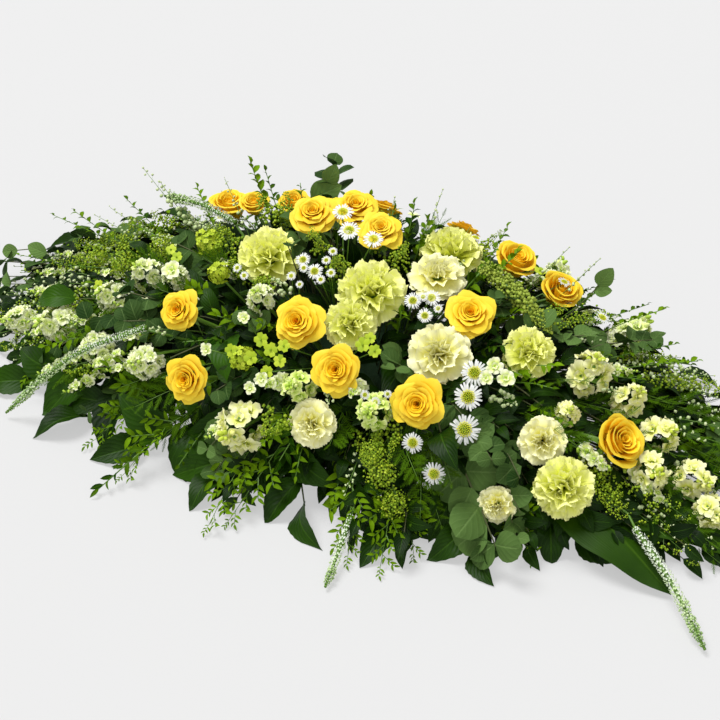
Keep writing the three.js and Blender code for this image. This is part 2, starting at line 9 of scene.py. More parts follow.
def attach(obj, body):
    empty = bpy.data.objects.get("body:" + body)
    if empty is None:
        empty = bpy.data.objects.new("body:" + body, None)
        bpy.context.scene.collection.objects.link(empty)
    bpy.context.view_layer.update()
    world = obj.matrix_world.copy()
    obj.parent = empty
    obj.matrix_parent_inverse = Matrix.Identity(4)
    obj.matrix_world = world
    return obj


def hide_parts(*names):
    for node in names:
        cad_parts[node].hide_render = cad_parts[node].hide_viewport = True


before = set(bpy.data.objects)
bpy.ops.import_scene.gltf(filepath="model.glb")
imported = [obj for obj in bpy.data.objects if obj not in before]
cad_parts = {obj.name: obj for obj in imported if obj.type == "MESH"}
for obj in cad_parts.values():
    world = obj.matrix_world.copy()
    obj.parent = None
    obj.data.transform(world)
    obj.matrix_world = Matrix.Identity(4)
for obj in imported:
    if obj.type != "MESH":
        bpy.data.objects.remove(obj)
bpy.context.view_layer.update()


# Tray. The shallow brown tray that holds the foam is pressed from paper pulp, so its faces are
# matt, mottled and a little furry, with darker patches where the wet foam has soaked it.
class Paint:
    """One socket of a material's nodes. Sums and products of sockets add their Math nodes."""

    def __init__(self, tree, socket):
        self.tree, self.socket = tree, socket

    def node(self, kind, inputs=None, output=0, stops=(), **settings):
        node = self.tree.nodes.new("ShaderNode" + kind)
        for name, value in settings.items():
            setattr(node, name, value)
        if stops:
            ramp = node.color_ramp.elements
            while len(ramp) < len(stops):
                ramp.new(0.5)
            for stop, (at, colour) in zip(ramp, stops):
                stop.position, stop.color = at, (*colour, 1)
        for name, value in (inputs or {}).items():
            socket = node.inputs[name]
            if isinstance(value, Paint):
                self.tree.links.new(value.socket, socket)
            else:
                socket.default_value = (*value, 1) if socket.type == "RGBA" else value
        return Paint(self.tree, node.outputs[output])

    def math(self, operation, first, second=0.0, clamp=False):
        return self.node("Math", {0: first, 1: second}, operation=operation, use_clamp=clamp)

    def __add__(self, other):
        return self.math("ADD", self, other)

    def __sub__(self, other):
        return self.math("SUBTRACT", self, other)

    def __rsub__(self, other):
        return self.math("SUBTRACT", other, self)

    def __mul__(self, other):
        return self.math("MULTIPLY", self, other)

    __radd__, __rmul__ = __add__, __mul__

    def __abs__(self):
        return self.math("ABSOLUTE", self)

    def held(self):
        return self.math("ADD", self, 0.0, clamp=True)

    def blend(self, first, second):
        return self.node("Mix", {0: self, 6: first, 7: second}, output=2, data_type="RGBA")

    def ramp(self, low, middle, high, at=0.5):
        return self.node("ValToRGB", {0: self}, stops=[(0, low), (at, middle), (1, high)])

    def noise(self, scale, detail=3.0):
        return self.node("TexNoise", {"Vector": self, "Scale": scale, "Detail": detail})

    def bump(self, strength, distance):
        return self.node("Bump", {"Height": self, "Strength": strength, "Distance": distance})

    def tone(self):
        return self.node("Attribute", output=2, attribute_name="tone")

    def uv(self):
        return self.node("TexCoord", output=2)


def finish(name, colour, roughness, bump=None, glow=0.0, **fixed):
    """A material whose colour and bump are worked out from places on the piece. Thin petals and
    leaves let a share of the light through."""
    material = bpy.data.materials.new(name)
    material.use_nodes = True
    tree = material.node_tree
    shader = tree.nodes["Principled BSDF"]
    for socket, value in {"Roughness": roughness, **fixed}.items():
        shader.inputs[socket.replace("_", " ")].default_value = value
    place = Paint(tree, tree.nodes.new("ShaderNodeTexCoord").outputs["Object"])
    painted = colour(place)
    tree.links.new(painted.socket, shader.inputs["Base Color"])
    if bump:
        tree.links.new(bump(place).socket, shader.inputs["Normal"])
    if glow:
        through = place.node("BsdfTranslucent", {"Color": painted})
        lit = place.node("MixShader", {0: glow, 1: Paint(tree, shader.outputs[0]), 2: through})
        tree.links.new(lit.socket, tree.nodes["Material Output"].inputs["Surface"])
    return material


def mottled(scale, dark, pale):
    """Colour in soft patches."""
    return lambda place: place.noise(scale).blend(dark, pale)


def grainy(scale, strength, height, detail=3.0):
    """Fine bumps all over."""
    return lambda place: place.noise(scale, detail).bump(strength, height)


def dress(node, material):
    """Gives a solid that stays as it is its own material."""
    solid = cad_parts[node]
    solid.data.materials.clear()
    solid.data.materials.append(material)


pulp_brown = mottled(14, (0.16, 0.075, 0.035), (0.33, 0.18, 0.09))
dress("tray", finish("moulded_fibre", pulp_brown, 0.9, grainy(420, 0.5, 0.0012, 6)))


# Foam. Two blocks of wet floral foam, dark green, brittle and full of fine open cells, lie end to
# end in the tray and hold every stem by friction in the hole that it has pressed.
def damp_green(place):
    damp = place.noise(260, 5) * 0.7 + place.noise(9) * 0.3
    return damp.blend((0.008, 0.03, 0.01), (0.03, 0.085, 0.028))


wet_foam = finish("wet_foam", damp_green, 0.95, grainy(700, 0.8, 0.0015, 4))
dress("foam_left", wet_foam)
dress("foam_right", wet_foam)

# Roses. Garden roses, golden yellow with an orange heart, each of two to three dozen silky petals:
# tight swirls in the middle, cupped rings round them, and outer petals that roll back to a point.
UP = Vector((0, 0, 1))
HALF_LENGTH, HALF_WIDTH, MOUND_HEIGHT = 0.622, 0.270, 0.260
GREEN_STALK = 1
SPIRAL_TURN = 2.4
heads = []


def held(share):
    return min(1, max(0, share))


def metres(place):
    """A plan gives its places in millimetres."""
    return Vector(place[:3]) / 1000


def at_angle(angle, away, height):
    return Vector((away * math.cos(angle), away * math.sin(angle), height))


def as_mesh(shape):
    data = bpy.data.meshes.new("shape")
    shape.to_mesh(data)
    shape.free()
    return data


def in_slot(shape, slot, tone=None):
    """A mesh to copy, all in one slot of its finishes, and in one tone unless it has its own."""
    if tone is not None:
        tones = shape.verts.layers.float.new("tone")
        for vert in shape.verts:
            vert[tones] = tone
    for face in shape.faces:
        face.material_index = slot
    return as_mesh(shape)


def sheet(columns, rows, form, tone=0.5, slot=0):
    """A thin petal or leaf: a grid whose points at (u, t) move to form(u, t). u runs from -1 to 1
    across it, and t from 0 at its foot to 1 at its tip. Its tone may vary over it too."""
    grid = bmesh.new()
    grid.loops.layers.uv.new("UVMap")
    bmesh.ops.create_grid(grid, x_segments=columns, y_segments=rows, size=1, calc_uvs=True)
    tones = grid.verts.layers.float.new("tone")
    for vert in grid.verts:
        u, t = vert.co.x, (vert.co.y + 1) / 2
        vert.co = form(u, t)
        vert[tones] = tone(u, t) if callable(tone) else tone
    return in_slot(grid, slot)


class Bunch:
    """Copies of patterns gathered into one mesh."""

    def __init__(self):
        self.gathered = bmesh.new()

    def put(self, pattern, matrix=None, tone=None):
        copy = pattern.copy()
        if matrix:
            copy.transform(matrix)
        if tone is not None:
            copy.attributes["tone"].data.foreach_set("value", [tone] * len(copy.vertices))
        self.gathered.from_mesh(copy)
        bpy.data.meshes.remove(copy)

    def pattern(self):
        return as_mesh(self.gathered)

    def piece(self, name, finishes, nodes=()):
        for vert in self.gathered.verts:
            vert.co.z = max(0.001, vert.co.z)
        data = self.pattern()
        data.name = name
        data.polygons.foreach_set("use_smooth", [True] * len(data.polygons))
        for material in finishes:
            data.materials.append(material)
        made = bpy.data.objects.new(name, data)
        bpy.context.scene.collection.objects.link(made)
        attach(made, "root")
        if nodes:
            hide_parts(*nodes)


def way_along(points, t):
    """The place and the direction at t on a smooth way through the points."""
    span = t * (len(points) - 1)
    i = min(int(span), len(points) - 2)
    s = span - i
    a, b = points[i], points[i + 1]
    before = points[i - 1] if i else a * 2 - b
    after = points[i + 2] if i + 2 < len(points) else b * 2 - a
    out, into = (b - before) / 2, (after - a) / 2
    place = a * (2 * s**3 - 3 * s**2 + 1) + out * (s**3 - 2 * s**2 + s)
    place += b * (3 * s**2 - 2 * s**3) + into * (s**3 - s**2)
    heading = (a - b) * (6 * s**2 - 6 * s) + out * (3 * s**2 - 4 * s + 1) + into * (3 * s**2 - 2 * s)
    return place, heading.normalized()


def stalk_pattern(sides, rings):
    rod = bmesh.new()
    rod.loops.layers.uv.new("UVMap")
    bmesh.ops.create_cone(rod, cap_ends=True, segments=sides, radius1=1, radius2=1, depth=1, calc_uvs=True)
    bmesh.ops.translate(rod, verts=rod.verts, vec=(0, 0, 0.5))
    upright = [edge for edge in rod.edges if abs(edge.verts[0].co.z - edge.verts[1].co.z) > 0.5]
    bmesh.ops.subdivide_edges(rod, edges=upright, cuts=rings - 1, use_grid_fill=True)
    return in_slot(rod, GREEN_STALK, 0.5)


def put_stalk(bunch, pattern, points, radius, tip=None, tone=0.5):
    """Bends a straight stalk along a way, thinning it to its tip."""
    bent = pattern.copy()
    tip = tip or radius
    for vert in bent.vertices:
        place, heading = way_along(points, held(vert.co.z))
        side = heading.cross(UP)
        side = side.normalized() if side.length > 0.05 else Vector((1, 0, 0))
        thick = radius + (tip - radius) * vert.co.z
        vert.co = place + (side * vert.co.x + side.cross(heading) * vert.co.y) * thick
    bunch.put(bent, tone=tone)
    bpy.data.meshes.remove(bent)


def outward(p):
    """The way that the mound faces at a place."""
    level = max(0.02, p.z)
    return Vector((p.x / HALF_LENGTH**2, p.y / HALF_WIDTH**2, level / MOUND_HEIGHT**2)).normalized()


def facing(place, towards, spin, size):
    """Stands a pattern made round +Z at a place, turned to face a way."""
    turn = UP.rotation_difference(towards).to_matrix().to_4x4()
    return Matrix.Translation(place) @ turn @ Matrix.Rotation(spin, 4, "Z") @ Matrix.Scale(size, 4)


def rose_petal(angle, rim, height, spread, curl, phase, swell):
    def form(u, t):
        t *= 1 - 0.2 * abs(u) ** 3
        across = angle + u * spread * min(1, 0.45 + 0.9 * t) + 0.1 * t
        rolled = max(0, t - 0.75) / 0.25
        wave = math.sin(u * 4 + phase)
        reach = rim * (0.12 + 0.88 * t**swell) + curl * rolled**2 * (1 + 0.5 * wave) + 0.07 * rim * u
        lift = -0.5 + (height + 0.5) * math.sin(min(1, t * 1.05) * math.pi / 2) - curl * 0.6 * rolled**2
        lift += 0.04 * wave * t**3 + 0.025 * math.sin(u * 8 + phase * 3) * t**4
        return at_angle(across, reach, lift)

    return form


# Each ring's count of petals, and the reach, height, spread and curl of their rims.
OPEN_ROSE = [
    (2, 0.04, 0.58, 2.2, 0.0), (3, 0.09, 0.62, 1.9, 0.0), (3, 0.15, 0.66, 1.7, 0.01),
    (3, 0.22, 0.68, 1.5, 0.02), (4, 0.31, 0.69, 1.25, 0.03), (4, 0.42, 0.67, 1.15, 0.05),
    (5, 0.56, 0.6, 1.0, 0.08), (5, 0.71, 0.46, 0.98, 0.12), (5, 0.84, 0.26, 0.94, 0.16),
]
HALF_OPEN_ROSE = [
    (2, 0.04, 0.62, 2.2, 0.0), (3, 0.12, 0.68, 1.9, 0.01), (3, 0.24, 0.72, 1.6, 0.02),
    (3, 0.38, 0.74, 1.4, 0.03), (3, 0.54, 0.74, 1.3, 0.04), (4, 0.7, 0.66, 1.2, 0.06),
    (4, 0.86, 0.48, 1.1, 0.08),
]


def sepal(u, t):
    width = 0.1 * math.sin(math.pi * min(1, t + 0.1)) ** 0.7
    return Vector((0.1 + 0.6 * t, u * width, -0.54 + 0.1 * t - 0.3 * t * t))


def rose_head(seed, open_by=1.0, rings=OPEN_ROSE, swell=0.8, pale=0.0):
    dice = random.Random(seed)
    head = Bunch()
    for ring, (count, rim, height, spread, curl) in enumerate(rings):
        for i in range(count):
            form = rose_petal(
                ring * SPIRAL_TURN + i * math.tau / count + dice.uniform(-0.25, 0.25),
                rim * dice.uniform(0.94, 1.06) * open_by,
                height * dice.uniform(0.92, 1.05),
                spread * dice.uniform(0.85, 1.05),
                curl * dice.uniform(0.5, 1.5),
                dice.uniform(0, 6),
                swell,
            )
            base = pale + (0.7 - pale) * (ring / (len(rings) - 1)) ** 0.6 + dice.uniform(-0.07, 0.07)
            head.put(sheet(8, 8, form, lambda u, t: held(base + 0.4 * t**5 - 0.05)))
    for i in range(5):
        head.put(sheet(2, 4, sepal, slot=GREEN_STALK), Matrix.Rotation(i * math.tau / 5, 4, "Z"))
    return head.pattern()


def petal_finish(name, heart, middle, outer, veins, roughness=0.6, **others):
    """Silk whose colour runs from the heart of a bloom to its outer petals, with fine veins."""

    def colour(place):
        fine = place.node("Mapping", {"Vector": place.uv(), "Scale": (22, 1.5, 1)}).noise(veins, 2)
        ring = place.tone() + (place.noise(60) - 0.5) * 0.15
        return ((fine - 0.5) * 0.4 + 0.02).held().blend(ring.ramp(heart, middle, outer, 0.55), heart)

    return finish(name, colour, roughness, Specular_IOR_Level=0.15, **others)


stem_green = mottled(40, (0.05, 0.13, 0.008), (0.14, 0.28, 0.02))
green_stem = finish("green_stem", stem_green, 0.5, grainy(500, 0.2, 0.0005))
rose_silk = petal_finish(
    "rose_petal", (0.97, 0.4, 0.003), (1.0, 0.63, 0.01), (1.0, 0.77, 0.06), 3.0, 0.5,
    bump=grainy(160, 0.2, 0.0006), glow=0.15,
)
STALK = stalk_pattern(5, 6)
TO_FRONT = Vector((0.3, -0.9, 0.2))
TO_RIGHT = Vector((0.9, 0.5, 0.3))


def rooted(p):
    """Where a bloom's stem stands in the foam."""
    return Vector((p.x * 0.36, p.y * 0.3, 0.056 if p.z > 0.06 else 0.046))


def put_heads(bunch, plan, patterns, stem, sink, turn=0.0, fill=1.0, lean=TO_FRONT):
    """Sets each bloom of a plan on its stem, or on its arm of a forked stem. It faces out of the
    mound and turns a little to the front, and it may fill more than its radius."""
    for seed, blooms in enumerate(plan.values()):
        dice = random.Random(seed)
        places = [metres(bloom) for bloom in blooms]
        centre = sum(places, Vector()) / len(places)
        root = rooted(centre)
        fork = root.lerp(centre, 0.55) if len(places) > 1 else None
        if fork:
            put_stalk(bunch, STALK, [root, fork], stem)
        for place, bloom in zip(places, blooms):
            radius = bloom[3] / 1000
            neck = place - outward(place) * sink * radius
            put_stalk(bunch, STALK, [fork or root, neck], stem * (0.75 if fork else 1))
            turned = (outward(place) + lean * turn).normalized()
            bunch.put(dice.choice(patterns), facing(place, turned, dice.uniform(0, 6), radius * fill))
            heads.append((place, radius))


FRONT_ROSES = {
    "rose_front_1": [(-180, -145, 165, 30)],
    "rose_front_2": [(-130, -210, 120, 30)],
    "rose_front_3": [(-10, -142, 198, 32)],
    "rose_front_4": [(60, -174, 172, 31)],
    "rose_front_5": [(165, -170, 155, 32)],
    "rose_front_6": [(172, -42, 202, 31)],
}
RIGHT_ROSE = {"rose_front_7": [(382, -82, 112, 31)]}
TOP_ROSES = {"rose_spray_top": [(-82, 28, 236, 27), (-44, 74, 230, 28), (14, 32, 238, 24)]}
SIDE_ROSES = {
    "rose_spray_left": [(-150, 98, 200, 21), (-214, 100, 180, 20), (-275, 132, 140, 29)],
    "rose_spray_right": [(160, 132, 176, 28), (230, 112, 162, 27)],
}
BACK_ROSES = {"rose_spray_back": [(-62, 192, 158, 28), (52, 204, 148, 28)]}
open_roses = [rose_head(1), rose_head(2, 0.94), rose_head(3, 1.03)]
half_open_roses = [rose_head(seed, rings=HALF_OPEN_ROSE, swell=0.45, pale=0.5) for seed in (4, 5)]
pale_roses = [rose_head(seed, pale=0.4) for seed in (1, 2, 3)]
roses = Bunch()
put_heads(roses, FRONT_ROSES, open_roses, stem=0.003, sink=0.1, turn=0.35, fill=1.02)
put_heads(roses, RIGHT_ROSE, half_open_roses[:1], stem=0.003, sink=0.1, turn=0.4, fill=1.12, lean=TO_RIGHT)
put_heads(roses, SIDE_ROSES, half_open_roses, stem=0.003, sink=0.1, turn=0.75, fill=1.12)
put_heads(roses, TOP_ROSES, pale_roses, stem=0.003, sink=0.1, turn=0.6, fill=1.24)
put_heads(roses, BACK_ROSES, pale_roses, stem=0.003, sink=0.1, fill=1.02)
rose_nodes = [*FRONT_ROSES, *RIGHT_ROSE, *TOP_ROSES, *SIDE_ROSES, *BACK_ROSES]
roses.piece("roses", [rose_silk, green_stem], rose_nodes)

# Carnations. Spray carnations, some pale lime and some cream, each a green calyx packed with fans
# of thin petals whose wide ends are ruffled and cut into fine teeth. Each ring gives its count of
# petals, and their tilt, bend, length, half width and ruffle.
CARNATION_DEPTH = 0.62
FULL_CARNATION = [
    (6, -0.02, 0.4, 1.12, 0.28, 0.13), (7, 0.2, 0.5, 1.2, 0.34, 0.15),
    (9, 0.44, 0.62, 1.22, 0.38, 0.15), (10, 0.72, 0.75, 1.2, 0.4, 0.14),
    (10, 1.04, 0.85, 1.16, 0.44, 0.12),
]
LOOSE_CARNATION = [
    (5, 0.02, 0.3, 0.95, 0.24, 0.14), (6, 0.24, 0.5, 1.02, 0.3, 0.15), (6, 0.5, 0.7, 1.08, 0.44, 0.12),
    (6, 0.84, 0.85, 1.2, 0.6, 0.1), (6, 1.06, 0.85, 1.2, 0.62, 0.1),
]


def fan_petal(length, half, tilt, bend, ruffle, phase, waves, narrow=0.3, corner=0.16, cup=0.1):
    """A petal that grows up +Z from the origin and leans to +X. It bends out along its length and
    widens to a rounded edge, which is ruffled."""

    def form(u, t):
        run = t * (1 - corner * abs(u) ** 3 * t)
        turn = tilt + bend * run
        reach = (math.cos(tilt) - math.cos(turn)) * length / bend
        lift = (math.sin(turn) - math.sin(tilt)) * length / bend
        wide = half * (narrow + (1 - narrow) * math.sin(min(1, run) * math.pi / 2))
        wave = math.sin(u * waves + phase) + 0.3 * math.sin(u * waves * 2.2 + phase * 2)
        off = cup * u * u * t + ruffle * t * t * wave
        return Vector((reach - math.cos(turn) * off, u * wide, lift + math.sin(turn) * off))

    return form


def toothed(form):
    """Cuts the edge of a petal into fine teeth."""
    return lambda u, t: form(u, t * (1 + 0.025 * t**4 * math.cos(u * 7 * math.pi)))


def calyx(u, t):
    return at_angle(u * math.pi, 0.25 * math.sin(math.pi * (0.08 + 0.5 * t)) ** 0.7, -0.72 + 0.5 * t)


def carnation_head(seed, rings, waves):
    dice = random.Random(seed)
    head = Bunch()
    for ring, (count, tilt, bend, length, half, ruffle) in enumerate(rings):
        for i in range(count):
            form = fan_petal(
                length * dice.uniform(0.92, 1.05),
                half * dice.uniform(0.85, 1.15),
                tilt + dice.uniform(-0.1, 0.1),
                bend * dice.uniform(0.8, 1.2),
                ruffle * dice.uniform(0.7, 1.3),
                dice.uniform(0, 6),
                waves * dice.uniform(0.85, 1.15),
            )
            turn = Matrix.Rotation(ring * 1.9 + i * math.tau / count + dice.uniform(-0.2, 0.2), 4, "Z")
            base = dice.uniform(-0.1, 0.1)
            # Every petal runs from the heart colour at its foot, deep in the bloom, to the outer colour at
            # its tip. The darker, greener foot is partly the carnation's own colour and partly painted
            # shade in the depth of the bloom, and the pale tip is partly painted highlight.
            petal = sheet(16, 5, toothed(form), lambda u, t: held(base + 1.05 * t**1.6))
            foot = Matrix.Translation((0, 0, -CARNATION_DEPTH))
            head.put(petal, foot @ turn @ Matrix.Translation((0.05, 0, 0)))
    head.put(sheet(8, 3, calyx, slot=GREEN_STALK))
    return head.pattern()


# The heart colours of these two finishes are partly painted shade and the outer colours partly painted
# highlight.
lime_frill = petal_finish(
    "lime_petal", (0.8, 0.88, 0.06), (0.94, 0.97, 0.2), (0.97, 0.98, 0.42), 4.0, glow=0.06
)
cream_frill = petal_finish(
    "cream_petal", (0.9, 0.82, 0.12), (0.96, 0.93, 0.36), (0.96, 0.95, 0.62), 4.0, glow=0.08
)
LIME_CARNATIONS = {
    "carnation_lime_1": [(-112, -42, 218, 39)],
    "carnation_lime_2": [(50, -70, 228, 40), (44, -118, 205, 30)],
    "carnation_lime_3": [(250, -34, 178, 31)],
    "carnation_lime_4": [(352, -162, 86, 34)],
    "carnation_lime_5": [(90, 94, 208, 38)],
    "carnation_lime_6": [(-150, 182, 150, 34)],
}
CREAM_CARNATIONS = {
    "carnation_cream_1": [(106, 4, 226, 30), (160, -106, 188, 32)],
    "carnation_cream_2": [(45, -222, 116, 25)],
    "carnation_cream_3": [(310, -132, 124, 24), (285, -206, 68, 19)],
}
full_carnations = [carnation_head(seed, FULL_CARNATION, 5.0) for seed in (11, 12, 13)]
loose_carnations = [carnation_head(seed, LOOSE_CARNATION, 5.4) for seed in (14, 15, 16)]
lime_carnations = Bunch()
put_heads(lime_carnations, LIME_CARNATIONS, full_carnations, stem=0.0022, sink=0.5, turn=0.15, fill=0.94)
lime_carnations.piece("carnations_lime", [lime_frill, green_stem], LIME_CARNATIONS)
cream_carnations = Bunch()
put_heads(cream_carnations, CREAM_CARNATIONS, loose_carnations, stem=0.0022, sink=0.5, turn=0.3)
cream_carnations.piece("carnations_cream", [cream_frill, green_stem], CREAM_CARNATIONS)

# Stocks and snapdragons. Short thick stems crowded with double florets of soft crumpled petals,
# greenish white or cream, that open from the bottom up to a knot of green buds. Single florets,
# and young tips with a few florets each, stand between them.
TIGHT_FLORET = [(4, 0.2, 0.7, 0.7, 0.36), (6, 0.75, 0.9, 1.05, 0.48)]
LOOSE_FLORET = [(3, 0.25, 0.9, 0.62, 0.36), (5, 0.85, 0.9, 1.1, 0.52)]


def floret(seed, rings, shade=0.0):
    """A floret of frilled petals round a green throat, greener all over where its shade is low. The
    throat's green is partly the floret's own colour and partly painted shade down in it.
    """
    dice = random.Random(seed)
    made = Bunch()
    for ring, (count, tilt, bend, length, half) in enumerate(rings):
        for i in range(count):
            form = fan_petal(
                length * dice.uniform(0.88, 1.1), half, tilt, bend, 0.12, dice.uniform(0, 6), 5,
                narrow=0.35, corner=0.3, cup=0.12,
            )
            turn = Matrix.Rotation(ring + i * math.tau / count + dice.uniform(-0.25, 0.25), 4, "Z")
            base = shade + dice.uniform(-0.1, 0.12)
            made.put(sheet(7, 4, form, lambda u, t: held(base + 1.1 * t)), turn)
    return made.pattern()


def bud_pattern(around, rows, slot=0, tone=0.5):
    bud = bmesh.new()
    bud.loops.layers.uv.new("UVMap")
    bmesh.ops.create_uvsphere(bud, u_segments=around, v_segments=rows, radius=1, calc_uvs=True)
    return in_slot(bud, slot, tone)


def bud_at(place, towards, size, tall):
    return facing(place, towards, 0, size) @ Matrix.Diagonal((1, 1, tall, 1))


tight_florets = [floret(seed, TIGHT_FLORET) for seed in range(21, 25)]
loose_florets = [floret(seed, LOOSE_FLORET) for seed in range(25, 29)]
green_florets = [floret(seed, LOOSE_FLORET, -0.4) for seed in range(29, 31)]
BUD = bud_pattern(5, 4, GREEN_STALK)
LIME_BUD = bud_pattern(5, 4, tone=0.12)
PALE_BUD = bud_pattern(5, 4, tone=0.6)
# Each ring's level, its reach from the stem, and the count and size of its florets.
TIGHT_RINGS = [(-0.5, 0.62, 5, 0.55), (0.05, 0.55, 4, 0.54), (0.55, 0.25, 3, 0.46)]
LOOSE_RINGS = [(-0.5, 0.55, 4, 0.56), (0.1, 0.5, 3, 0.6), (0.65, 0.15, 2, 0.5)]


def stock_head(seed, rings, patterns):
    dice = random.Random(seed)
    head = Bunch()
    for ring, (level, away, count, size) in enumerate(rings):
        for i in range(count):
            side = at_angle(ring * 0.8 + i * math.tau / count + dice.uniform(-0.3, 0.3), 1, 0)
            towards = (side + UP * (0.25 + 0.35 * ring)).normalized()
            place = side * away + UP * (level + dice.uniform(-0.1, 0.1))
            pattern, spin = dice.choice(patterns), dice.uniform(0, 6)
            head.put(pattern, facing(place, towards, spin, size * dice.uniform(0.8, 1.15)))
            head.put(BUD, bud_at(place - towards * size * 0.1, towards, 0.13, 1.7))
    for i in range(7):
        angle = i * SPIRAL_TURN
        place = at_angle(angle, 0.3 * (1 - i / 10), 0.8 + 0.07 * i)
        pale = i < 5 and dice.random() < 0.6
        knot = bud_at(place, at_angle(angle, 1, 1.2).normalized(), 0.14 - 0.008 * i, 1.5)
        head.put(PALE_BUD if pale else LIME_BUD, knot)
    return head.pattern()


# The heart colours of the stocks are partly their own green and partly painted shade in the recesses
# between their petals.
white_stock = petal_finish(
    "stock_petal", (0.42, 0.64, 0.03), (0.8, 0.9, 0.3), (0.92, 0.94, 0.7), 3.0, glow=0.12
)
cream_stock = petal_finish(
    "cream_stock_petal", (0.5, 0.64, 0.03), (0.86, 0.88, 0.24), (0.93, 0.92, 0.56), 3.0, glow=0.12
)
WHITE_STOCKS = {
    "stock_left_1": [(-392, -140, 78, 24), (-470, -122, 48, 19)],
    "stock_left_2": [(-276, -82, 158, 21), (-228, -88, 174, 16), (-316, -112, 128, 20)],
    "stock_left_3": [(-208, -200, 112, 21), (-296, -182, 92, 21)],
    "stock_middle": [(-78, -122, 205, 17)],
    "stock_back": [(190, 196, 122, 26), (330, 128, 118, 26)],
}
CREAM_STOCKS = {
    "snapdragon_front_1": [(-48, -238, 88, 27)],
    "stock_right_1": [(320, -8, 150, 25), (322, -84, 138, 14)],
    "stock_right_2": [(376, -8, 126, 20), (424, -28, 102, 22), (432, -84, 86, 22)],
    "stock_right_3": [(478, -52, 68, 22), (512, -80, 54, 19)],
}
GREEN_STOCKS = {"snapdragon_front_2": [(16, -200, 150, 19), (118, -196, 146, 21)]}
SINGLE_FLORETS = {
    "curled": [(232, -102, 188, 11), (249, -107, 180, 11), (229, -121, 182, 9)],
    "left": [(-293, -184, 114, 9), (-206, -207, 128, 10), (-188, -207, 134, 9), (-217, -105, 193, 13)],
    "middle": [(-76, -163, 200, 8), (-111, -198, 163, 8), (-24, -214, 158, 9), (-36, -222, 146, 8)],
    "back": [(-320, 120, 110, 10), (-350, 90, 112, 9), (120, 180, 160, 10), (-10, 180, 178, 9)],
}
tight_heads = [stock_head(seed, TIGHT_RINGS, tight_florets) for seed in range(31, 35)]
loose_heads = [stock_head(seed, LOOSE_RINGS, loose_florets) for seed in range(35, 40)]
green_heads = [stock_head(seed, LOOSE_RINGS, green_florets + loose_florets[:1]) for seed in range(40, 42)]
stocks = Bunch()
cream_stocks = Bunch()
put_heads(stocks, WHITE_STOCKS, tight_heads, stem=0.0026, sink=0.55, turn=0.3, fill=1.1)
put_heads(stocks, GREEN_STOCKS, green_heads, stem=0.0026, sink=0.55, turn=0.3, fill=1.1)
put_heads(cream_stocks, CREAM_STOCKS, loose_heads, stem=0.0026, sink=0.55, turn=0.3, fill=1.15)
cream_stocks.piece("cream_stocks", [cream_stock, green_stem], CREAM_STOCKS)
put_heads(stocks, SINGLE_FLORETS, loose_florets, stem=0.0012, sink=0.05, turn=0.5)


def put_sprig(bunch, route, dice, size):
    """A stock's young tip: florets and green buds by turns up its last third."""
    put_stalk(bunch, STALK, route, 0.0014, 0.0007)
    for i in range(11):
        t = 0.66 + 0.031 * i
        place, heading = way_along(route, t)
        side = Matrix.Rotation(i * SPIRAL_TURN, 3, heading) @ heading.cross(UP).normalized()
        towards = (side + heading * 0.7 + UP * 0.3).normalized()
        small = size * (1.1 - 0.055 * i)
        if i % 3 and t < 0.94:
            foot = place + side * 0.001
            bunch.put(dice.choice(loose_florets), facing(foot, towards, dice.uniform(0, 6), small))
        bunch.put(LIME_BUD, bud_at(place + towards * small * 0.3, towards, small * 0.3, 1.7))


def route_to(tip, dice, bow=0.02):
    """A twig's way out of the foam to its tip."""
    root = Vector((min(0.23, max(-0.23, tip.x * 0.55)), tip.y * 0.36, 0.06))
    middle = root.lerp(tip, 0.55) + Vector((dice.uniform(-0.01, 0.01), dice.uniform(-0.01, 0.01), bow))
    return [root, middle, tip]


SPRIGS = [
    (-470, -90, 74), (-380, -60, 118), (-430, -20, 102), (-360, -150, 92), (-250, -80, 158),
    (-540, -20, 50), (-330, 10, 146), (-222, -112, 152), (-270, -150, 122), (-400, -150, 76),
    (-500, 10, 76), (-450, -140, 62), (-290, -210, 84), (-340, -200, 66), (-420, -110, 84),
    (-300, -130, 132), (-180, -60, 196), (-500, -40, 70), (-257, -218, 93), (-324, -227, 40),
    (-251, -190, 127), (-379, -208, 40), (-430, -165, 62), (-84, -257, 72), (-490, -80, 66),
    (373, 29, 141), (395, -124, 106), (470, -110, 66), (89, -201, 163), (-21, -219, 151),
    (-160, 236, 100), (280, 190, 100), (-420, 150, 60),
]
dice = random.Random(34)
for tip in SPRIGS:
    put_sprig(stocks, route_to(metres(tip), dice), dice, dice.uniform(0.009, 0.011))
stocks.piece("stocks", [white_stock, green_stem], [*WHITE_STOCKS, *GREEN_STOCKS])

# Daisies. Small white asters on thin branching stems, each with a ring of twenty-odd narrow rays
# round a domed lime-yellow eye that is packed with tiny florets.
GOLDEN_ANGLE = 2.39996
EYE_FLORETS = 60
EYE = bud_pattern(4, 3, 2)


def turns(count, dice, wobble):
    """Even turns round the middle of a flower, each a little off."""
    for i in range(count):
        yield Matrix.Rotation(i * math.tau / count + dice.uniform(-wobble, wobble), 4, "Z")


def daisy_head(seed):
    dice = random.Random(seed)
    head = Bunch()
    for turn in turns(23, dice, 0.08):
        length, droop = dice.uniform(0.88, 1.06), dice.uniform(-0.12, 0.08)

        def ray(u, t):
            width = 0.085 * math.sin(math.pi * (0.2 + 0.62 * t)) ** 0.6
            lift = 0.04 + droop * t * t + 0.03 * u * u + 0.06 * math.sin(t * 3)
            return Vector((0.36 + (length - 0.36) * t, u * width, lift))

        head.put(sheet(2, 3, ray, dice.uniform(0.3, 1)), turn)
    for i in range(EYE_FLORETS):
        away = 0.5 * math.sqrt((i + 0.5) / EYE_FLORETS)
        place = at_angle(i * GOLDEN_ANGLE, away, 0.04 + 0.24 * math.cos(away * 2.75))
        head.put(EYE, facing(place, UP, 0, 0.058), i / EYE_FLORETS)
    return head.pattern()


